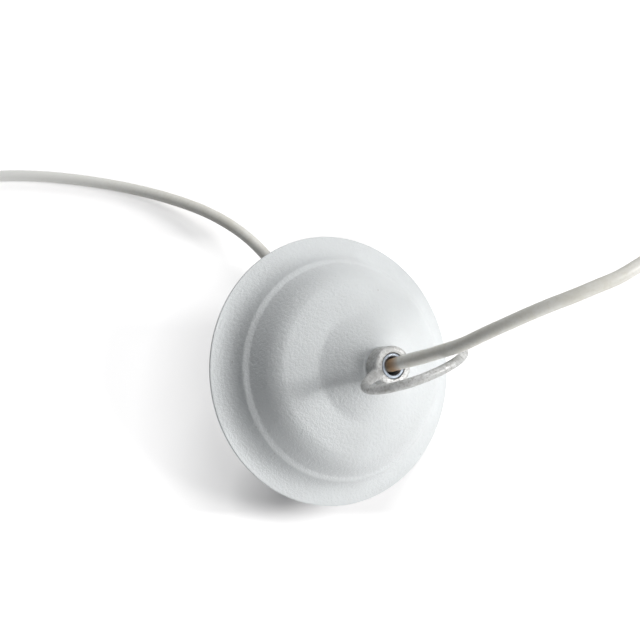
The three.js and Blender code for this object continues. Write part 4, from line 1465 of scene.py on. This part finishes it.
core_earth, tree, shader, place = start_finish(
    "earth_core_skin", (0.2, 0.4, 0.06), 0.4, frame_matrix=block_frame
)
across_core = add(tree, "ShaderNodeSeparateXYZ", None, i0=place).outputs["Y"]
stripe = maths(tree, "GREATER_THAN", across_core, 0.0)
two_colours = blend_colour(tree, stripe, (0.06, 0.26, 0.07), (0.75, 0.60, 0.04))
tree.links.new(two_colours, shader.inputs["Base Color"])
bump(tree, shader, use_group(tree, peel, Position=place, Scale=1500.0, Fine=0.4), 0.08)
core_finishes = {"brown": core_brown, "earth": core_earth, "blue": core_blue}
for (colour, material), pole, degrees in zip(core_finishes.items(), POLES, (210, 90, -30)):
    line = core_line(pole, math.radians(degrees))
    core = shape_object(f"{colour}_core", tube(line, CORE_RADIUS, 20), block_frame)
    finish_piece(core, material, [f"core_{colour}"])
    print(core.name, "is", round(line_length(line), 1), "mm long")

# %% [markdown]
# ## The tie on the coil
#
# A narrow hook-and-loop strap holds the coil's turns. It hugs the bundle, so its path is a loop
# around the outermost flexes, drawn as a polygon with arcs at its corners. It overlaps itself on
# top, where its free end lies on the first layer.

# %% Build the tie
TIE_WIDTH = 9.0
TIE_THICKNESS = 0.4
near_x = COIL_MIDDLE.x + MIDDLE_LANE - FLEX_ACROSS - 0.45
far_x = COIL_MIDDLE.x + MIDDLE_LANE + FLEX_ACROSS
low_z, high_z = COIL_LIFT + FLEX_RADIUS, COIL_LIFT + FLEX_RADIUS + FLEX_ACROSS
bundle = [
    (Vector((far_x - FLEX_ACROSS, high_z)), (45, 90)),
    (Vector((near_x, high_z)), (90, 180)),
    (Vector((near_x, low_z)), (180, 270)),
    (Vector((far_x, low_z)), (270, 405)),
    (Vector((far_x - FLEX_ACROSS, high_z)), (45, 90)),
]
tie_line = []
for corner, (start, stop) in bundle:
    layer = 0.55 if len(tie_line) > 30 else 0.0
    for i in range(9):
        a = math.radians(start + (stop - start) * i / 8)
        reach = FLEX_RADIUS + 0.15 + TIE_THICKNESS / 2 + (layer * i / 8 if start == 45 else 0.0)
        tie_line.append(corner + reach * Vector((math.cos(a), math.sin(a))))
tie_line.append(tie_line[-1] + Vector((-3.5, 0)))
tie_sections = []
for i, point in enumerate(tie_line):
    along = (tie_line[min(i + 1, len(tie_line) - 1)] - tie_line[max(i - 1, 0)]).normalized()
    out = Vector((along.y, -along.x)) * TIE_THICKNESS / 2
    (inner_x, inner_z), (outer_x, outer_z) = point - out, point + out
    low_y, high_y = COIL_MIDDLE.y - TIE_WIDTH / 2, COIL_MIDDLE.y + TIE_WIDTH / 2
    tie_sections.append([
        (inner_x, low_y + 0.1, inner_z), (inner_x, high_y - 0.1, inner_z), (point.x, high_y, point.y),
        (outer_x, high_y - 0.1, outer_z), (outer_x, low_y + 0.1, outer_z), (point.x, low_y, point.y),
    ])
tie_points, tie_faces = rows(tie_sections)
tie_faces += [list(range(6)), [len(tie_points) - 1 - i for i in range(6)]]
tie = shape_object("tie", (tie_points, tie_faces), table_frame)
finish_piece(tie, tie_plastic, ["coil_tie"], sharp=40)
print("the tie is", round(line_length(tie_line), 1), "mm long")

# %% [markdown]
# ## The lampholder
#
# The other end of the flex goes into a lampholder for a screw cap of 27 mm. It lies on the table
# on its shade ring and on the edge of its cap, so its axis dips towards the flex. Its own frame
# stands in its mouth with Z pointing into it, which lets every piece be a turned outline.

# %% Frame of the lampholder
SKIRT_RADIUS = 19.5
SKIRT_LENGTH = 40.0
SHADE_RING_RADIUS = 24.0
SHADE_RING_PLACE = 16.0
CAP_FOOT = SKIRT_LENGTH + GAP
CAP_TOP = CAP_FOOT + 20.0
HOLDER_GRIP_RADIUS = 6.5
HOLDER_GRIP_FOOT = CAP_TOP + GAP
HOLDER_LENGTH = HOLDER_GRIP_FOOT + 12.0
HOLDER_END_X, HOLDER_END_Y = 190, 80
rests_from = SHADE_RING_PLACE + 2.0
holder_dip = math.atan((SHADE_RING_RADIUS - SKIRT_RADIUS) / (CAP_FOOT + 6.0 - rests_from))
dip_cos, dip_sin = math.cos(holder_dip), math.sin(holder_dip)
holder_end_height = SHADE_RING_RADIUS * dip_cos - (HOLDER_LENGTH - rests_from) * dip_sin
mouth_x = HOLDER_END_X + HOLDER_LENGTH * dip_cos
mouth_height = holder_end_height + HOLDER_LENGTH * dip_sin
holder_mouth = Vector((mouth_x, HOLDER_END_Y, mouth_height))
holder_frame = Matrix.Translation(holder_mouth * MM) @ Matrix.Rotation(-math.pi / 2 - holder_dip, 4, "Y")
print("the lampholder dips by", round(math.degrees(holder_dip), 2), "degrees")

# %% [markdown]
# The skirt is a sleeve with a lip at its mouth and a coarse thread outside, for the shade ring.
# Its wall is one closed chain of circles: around the lip, along the thread, over the far edge
# and back inside.

# %% Skirt of the lampholder
skirt_mouth = [
    *bezier([(15.5, 0.5), (15.5, 0), (16.2, 0)], 3),
    *bezier([(18.5, 0), (SKIRT_RADIUS, 0), (SKIRT_RADIUS, 1.0)], 5),
    (SKIRT_RADIUS, 1.0), (SKIRT_RADIUS, 8.6), (19.2, 9.0),
]
skirt_back = [
    (19.2, 37.0), (SKIRT_RADIUS, 37.4), (SKIRT_RADIUS, 39.7), (19.2, SKIRT_LENGTH),
    (17.4, SKIRT_LENGTH), (17.1, 39.7), (17.1, 27.0), (15.8, 26.2), (15.5, 25.8),
]
skirt_lines = [circle(r, z, 120) for r, z in skirt_mouth]
skirt_lines += thread_rows(19.3, 0.8, 3.5, 9.2, 36.8, 120)
skirt_lines += [circle(r, z, 120) for r, z in skirt_back]
skirt = shape_object("lamp_skirt", rows(skirt_lines, along=True), holder_frame)
finish_piece(skirt, white_plastic, ["holder_skirt"], sharp=35)
print("skirt has", len(skirt.data.polygons), "faces")

# %% [markdown]
# The shade ring, the cap and the grip on the flex are turned by hand when the lamp is fitted, so
# each has ribs for the fingers, made by the same helper as the cord grip's. The cap's dome is a
# chain of Bezier curves. Its inner side follows with a few straight lines, as nobody sees them.

# %% Shade ring, cap and grip of the lampholder
shade_ring_outline = [
    (19.8, 16.4), (20.2, SHADE_RING_PLACE), (23.6, SHADE_RING_PLACE), (SHADE_RING_RADIUS, 16.4),
    (SHADE_RING_RADIUS, 17.6), (23.6, 18.0), (22.1, 18.1), (21.8, 18.4), (21.8, 18.7), (21.8, 22.3),
    (21.8, 22.6), (21.4, 23.0), (20.2, 23.0), (19.8, 22.6),
]
shade_ring_body = ribbed(shade_ring_outline, 48, 0.4, 18.6, 22.4, 21.8)
shade_ring = shape_object("lamp_shade_ring", shade_ring_body, holder_frame)
finish_piece(shade_ring, white_plastic, ["shade_ring"], sharp=35)

cap_outline = [
    (15.3, 36.9), (15.6, 36.6), (16.5, 36.6), (16.8, 36.9), (16.8, CAP_FOOT), (19.2, CAP_FOOT),
    (SKIRT_RADIUS, 40.6), (SKIRT_RADIUS, 41.0), (SKIRT_RADIUS, 41.3), (SKIRT_RADIUS, 45.2),
    (SKIRT_RADIUS, 45.5),
    *bezier([(SKIRT_RADIUS, 46.3), (19.4, 50.4), (16.9, 55.8), (11.5, 58.6)], 16),
    *bezier([(11.5, 58.6), (9.6, 59.6), (7.9, CAP_TOP), (HOLDER_GRIP_RADIUS, CAP_TOP)], 6),
    (HOLDER_GRIP_RADIUS, CAP_TOP), (3.3, CAP_TOP), (2.95, 60.0), (2.95, 57.3), (9.5, 55.8),
    (14.3, 50.3), (15.3, 45.3),
]
cap = shape_object("lamp_cap", ribbed(cap_outline, 36, 0.3, 40.8, 45.4, SKIRT_RADIUS), holder_frame)
finish_piece(cap, white_plastic, ["holder_cap"], sharp=35)

holder_grip_outline = [
    (2.95, HOLDER_GRIP_FOOT), (6.1, HOLDER_GRIP_FOOT), (HOLDER_GRIP_RADIUS, 61.0),
    (HOLDER_GRIP_RADIUS, 61.3), (HOLDER_GRIP_RADIUS, 67.4), (HOLDER_GRIP_RADIUS, 67.8),
    *bezier([(6.4, 68.1), (6.1, 70.4), (5.1, 72.6), (4.5, HOLDER_LENGTH)], 6),
    (4.5, HOLDER_LENGTH), (3.3, HOLDER_LENGTH), (2.95, 72.2),
]
holder_grip_body = ribbed(holder_grip_outline, 24, 0.4, 61.2, 67.5, HOLDER_GRIP_RADIUS)
holder_grip = shape_object("lamp_grip", holder_grip_body, holder_frame)
finish_piece(holder_grip, white_plastic, ["holder_grip"], sharp=35)
print("grip of the lampholder has", len(holder_grip.data.polygons), "faces")

# %% [markdown]
# Inside the skirt a brass shell carries the round thread that the lamp screws into. It is rolled
# from thin sheet, so the wave shows on both of its faces. A sprung contact stands in the middle,
# and both sit on a glazed ceramic disc.

# %% Screw shell, centre contact and ceramic
SHELL_RADIUS = 14.3
SHELL_SHEET = 0.5
SHELL_PITCH = 3.63
SHELL_FOOT, SHELL_TOP = 5.0, 28.0
SHELL_SEGMENTS = 96
SHELL_HOLE = 7.5


def rolled_line(z, inset):
    """One row of the shell's round thread, at a height, this far inside its outer face."""
    fade = min(1.0, (z - SHELL_FOOT) / 2.0, (SHELL_TOP - z) / 4.0)
    line = []
    for i in range(SHELL_SEGMENTS):
        a = 2 * math.pi * i / SHELL_SEGMENTS
        wave = 0.5 - 0.5 * math.cos(2 * math.pi * (z / SHELL_PITCH - i / SHELL_SEGMENTS))
        r = SHELL_RADIUS - 1.0 * max(0.0, fade) * wave - inset
        line.append((r * math.cos(a), r * math.sin(a), z))
    return line


shell_heights = [SHELL_FOOT + (SHELL_TOP - SHELL_FOOT) * i / 76 for i in range(77)]
shell_lines = [rolled_line(z, 0.0) for z in shell_heights[:-1]]
shell_end = [
    (SHELL_RADIUS - 0.3, SHELL_TOP), (SHELL_HOLE, SHELL_TOP), (SHELL_HOLE, SHELL_TOP - SHELL_SHEET),
]
shell_lines += [circle(r, z, SHELL_SEGMENTS) for r, z in shell_end]
shell_lines += [rolled_line(z, SHELL_SHEET) for z in reversed(shell_heights[:-2])]
shell = shape_object("lamp_screw_shell", rows(shell_lines, along=True), holder_frame)
shell_brass = metal_finish("rolled_brass", (0.78, 0.62, 0.32), (0.60, 0.44, 0.2), 0.3, holder_frame)
finish_piece(shell, shell_brass, ["screw_shell"], sharp=40)

contact_outline = [
    (0, 26.5), (1.2, 26.55), (2.4, 26.75), (3.4, 27.1), (4.2, 27.35), (4.5, 27.5), (4.5, 27.8),
    (4.3, SHELL_TOP), (0, SHELL_TOP),
]
contact = shape_object("lamp_contact", turned(contact_outline, 64), holder_frame)
finish_piece(contact, shell_brass, ["centre_contact"], sharp=40)

insert_outline = [
    (0, 28.3),
    *bezier([(16.2, 28.3), (16.8, 28.3), (16.8, 28.9)], 4),
    *bezier([(16.8, 35.7), (16.8, 36.3), (16.2, 36.3)], 4),
    (0, 36.3),
]
insert = shape_object("lamp_ceramic", turned(insert_outline, 96), holder_frame)
rivets = [moved(rod_shape(1.6, 27, 38, 24), Matrix.Translation((x, 0, 0))) for x in (-11.0, 11.0)]
carve(insert, *[shape_object("rivet_hole", shape, holder_frame) for shape in rivets])
finish_piece(insert, ceramic, ["holder_insert"], sharp=40)
print("shell, contact and ceramic are in", insert.name)

# %% [markdown]
# ## The two cords
#
# A cord's own path is the line that its tube was swept along.


print("the two cords are the swept flex pieces above")

# %% [markdown]
# ## The stage
#
# The canopy lies on a plain white table. The table keeps the soft shadows, but a lit white sheet never
# reaches the clean white of a studio ground by light alone without the object burning out too. So the
# floor gets a faint glow that only the camera and mirrors see, through Light Path: it lifts the
# picture's ground and sends no light on to the object. Its strength also paints light and shade on the
# table. It is weaker near the dish and weakest in the corner by the place where the rim touches, which
# paints shade there deeper than the lamps' own shadow. It grows further out, which paints that shadow's
# fade. A strip of less glow behind the dish paints a deeper shadow under the flex, and a strip of more
# glow just before it paints light into the dish's shadow. More glow in front of the dish paints the
# shadow's end early. Each stretch in the cell reads: from one distance to another, in metres, and the
# glow at either end of that.


# %% Floor
def seen_directly(tree):
    """1 for rays that come from the camera, a mirror or glass, and 0 for the light's own paths."""
    path = tree.nodes.new("ShaderNodeLightPath")
    seen = maths(tree, "ADD", path.outputs["Is Camera Ray"], path.outputs["Is Glossy Ray"])
    seen = maths(tree, "ADD", seen, path.outputs["Is Transmission Ray"])
    return maths(tree, "MINIMUM", seen, 1.0)


FLOOR_REACH = 4000
near_edge = [(-FLOOR_REACH, -FLOOR_REACH, 0), (FLOOR_REACH, -FLOOR_REACH, 0)]
far_edge = [(-FLOOR_REACH, FLOOR_REACH, 0), (FLOOR_REACH, FLOOR_REACH, 0)]
floor = shape_object("floor", rows([near_edge, far_edge], around=False), table_frame)
floor_white, tree, shader, place = start_finish("floor_white", (0.935, 0.925, 0.93), 0.9)
shader.inputs["Specular IOR Level"].default_value = 0.1
shader.inputs["Emission Color"].default_value = (1, 1, 1, 1)


def distance_from(spot):
    """How far a place on the floor is from this spot, in metres."""
    node = add(tree, "ShaderNodeVectorMath", {"operation": "DISTANCE"}, i0=place, i1=spot)
    return node.outputs["Value"]


from_dish = distance_from((0, -0.01, 0))
from_contact = distance_from((-0.022, -0.050, 0))
# Painted shade: the glow is weaker near the dish and, on the next line, weakest in the corner where the
# rim touches, which darkens the floor there; it grows further out, which paints the shadow's fade.
glow_with_painted_shadow_fade = stretch(tree, from_dish, 0.056, 0.090, 0.41, 0.66)
painted_contact_shadow = stretch(tree, from_contact, 0.0, 0.025, 0.33, 0.0)
depth = add(tree, "ShaderNodeSeparateXYZ", i0=place).outputs["Y"]
# Painted light and shade in strips across the depth: more glow just before the flex lightens the dish's
# shadow, less glow under the flex paints its shadow deeper, and the next stretch after that ends the
# strip.
painted_light_before_flex = stretch(tree, depth, 0.026, 0.040, 0.0, 0.11)
painted_flex_shadow = stretch(tree, depth, 0.058, 0.072, 0.0, 0.31)
behind_flex = stretch(tree, depth, 0.102, 0.130, 0.0, 0.20)
# Painted light: more glow in front of the dish ends the dish's shadow early.
painted_light_in_front = stretch(tree, depth, -0.0625, -0.0565, 0.30, 0.0)
far_glow = stretch(tree, from_dish, 0.4, 3.0, 0.0, 0.6)
near_dish = stretch(tree, from_dish, 0.19, 0.26, 1.0, 0.0)
painted_light_and_shadow_strip = maths(tree, "SUBTRACT", maths(tree, "ADD", painted_light_before_flex, behind_flex), painted_flex_shadow)
glow = maths(tree, "SUBTRACT", glow_with_painted_shadow_fade, painted_contact_shadow)
for part in (maths(tree, "MULTIPLY", painted_light_and_shadow_strip, near_dish), painted_light_in_front, far_glow):
    glow = maths(tree, "ADD", glow, part)
tree.links.new(maths(tree, "MULTIPLY", seen_directly(tree), glow), shader.inputs["Emission Strength"])
floor.data.materials.append(floor_white)
print("the floor is", 2 * FLOOR_REACH / 1000, "m wide")

# %% [markdown]
# Soft boxes stand far from a small object, so the light is nearly even over it. The key is to the
# right, a smaller one above it draws the ring's soft shadow on the neck, and two more fill from the
# far and the near side. The world adds a little sky on all sides, and is white where it is seen.

# %% World and lamps
world = bpy.data.worlds.new("pale_room")
bpy.context.scene.world = world
world.use_nodes = True
sky = world.node_tree.nodes["Background"]
seen = seen_directly(world.node_tree)
sky_colour = blend_colour(world.node_tree, seen, (0.93, 0.97, 1.0), (1.0, 1.0, 1.0))
world.node_tree.links.new(sky_colour, sky.inputs["Color"])
world.node_tree.links.new(stretch(world.node_tree, seen, 0.0, 1.0, 0.11, 1.0), sky.inputs["Strength"])

LAMP_REACH = 2.4
LAMP_COLOUR = (1.0, 0.995, 0.985)
lamps = {
    "key": (29, 2, 0.8, 21.8),
    "high": (44, -7, 0.42, 12.0),
    "far_side": (38, 76, 1.1, 17.8),
    "near_side": (15, -58, 1.1, 14.6),
}
for name, (lift_angle, turn, size, power) in lamps.items():
    data = bpy.data.lights.new(name, "AREA")
    data.shape = "DISK"
    data.size, data.energy, data.color = size, power, LAMP_COLOUR
    lamp = bpy.data.objects.new(name, data)
    turned_to = Matrix.Rotation(math.radians(turn), 3, "Z")
    lifted = Matrix.Rotation(math.radians(-lift_angle), 3, "Y")
    lamp.location = turned_to @ lifted @ Vector((LAMP_REACH, 0, 0))
    lamp.rotation_euler = lamp.location.to_track_quat("Z", "Y").to_euler()
    bpy.context.scene.collection.objects.link(lamp)
print("lamps:", ", ".join(lamps))

# %% [markdown]
# ## Finish
#
# The picture is kept as the lamps give it, with no filmic curve.

# %% Finish
bpy.context.scene.view_settings.view_transform = "Standard"
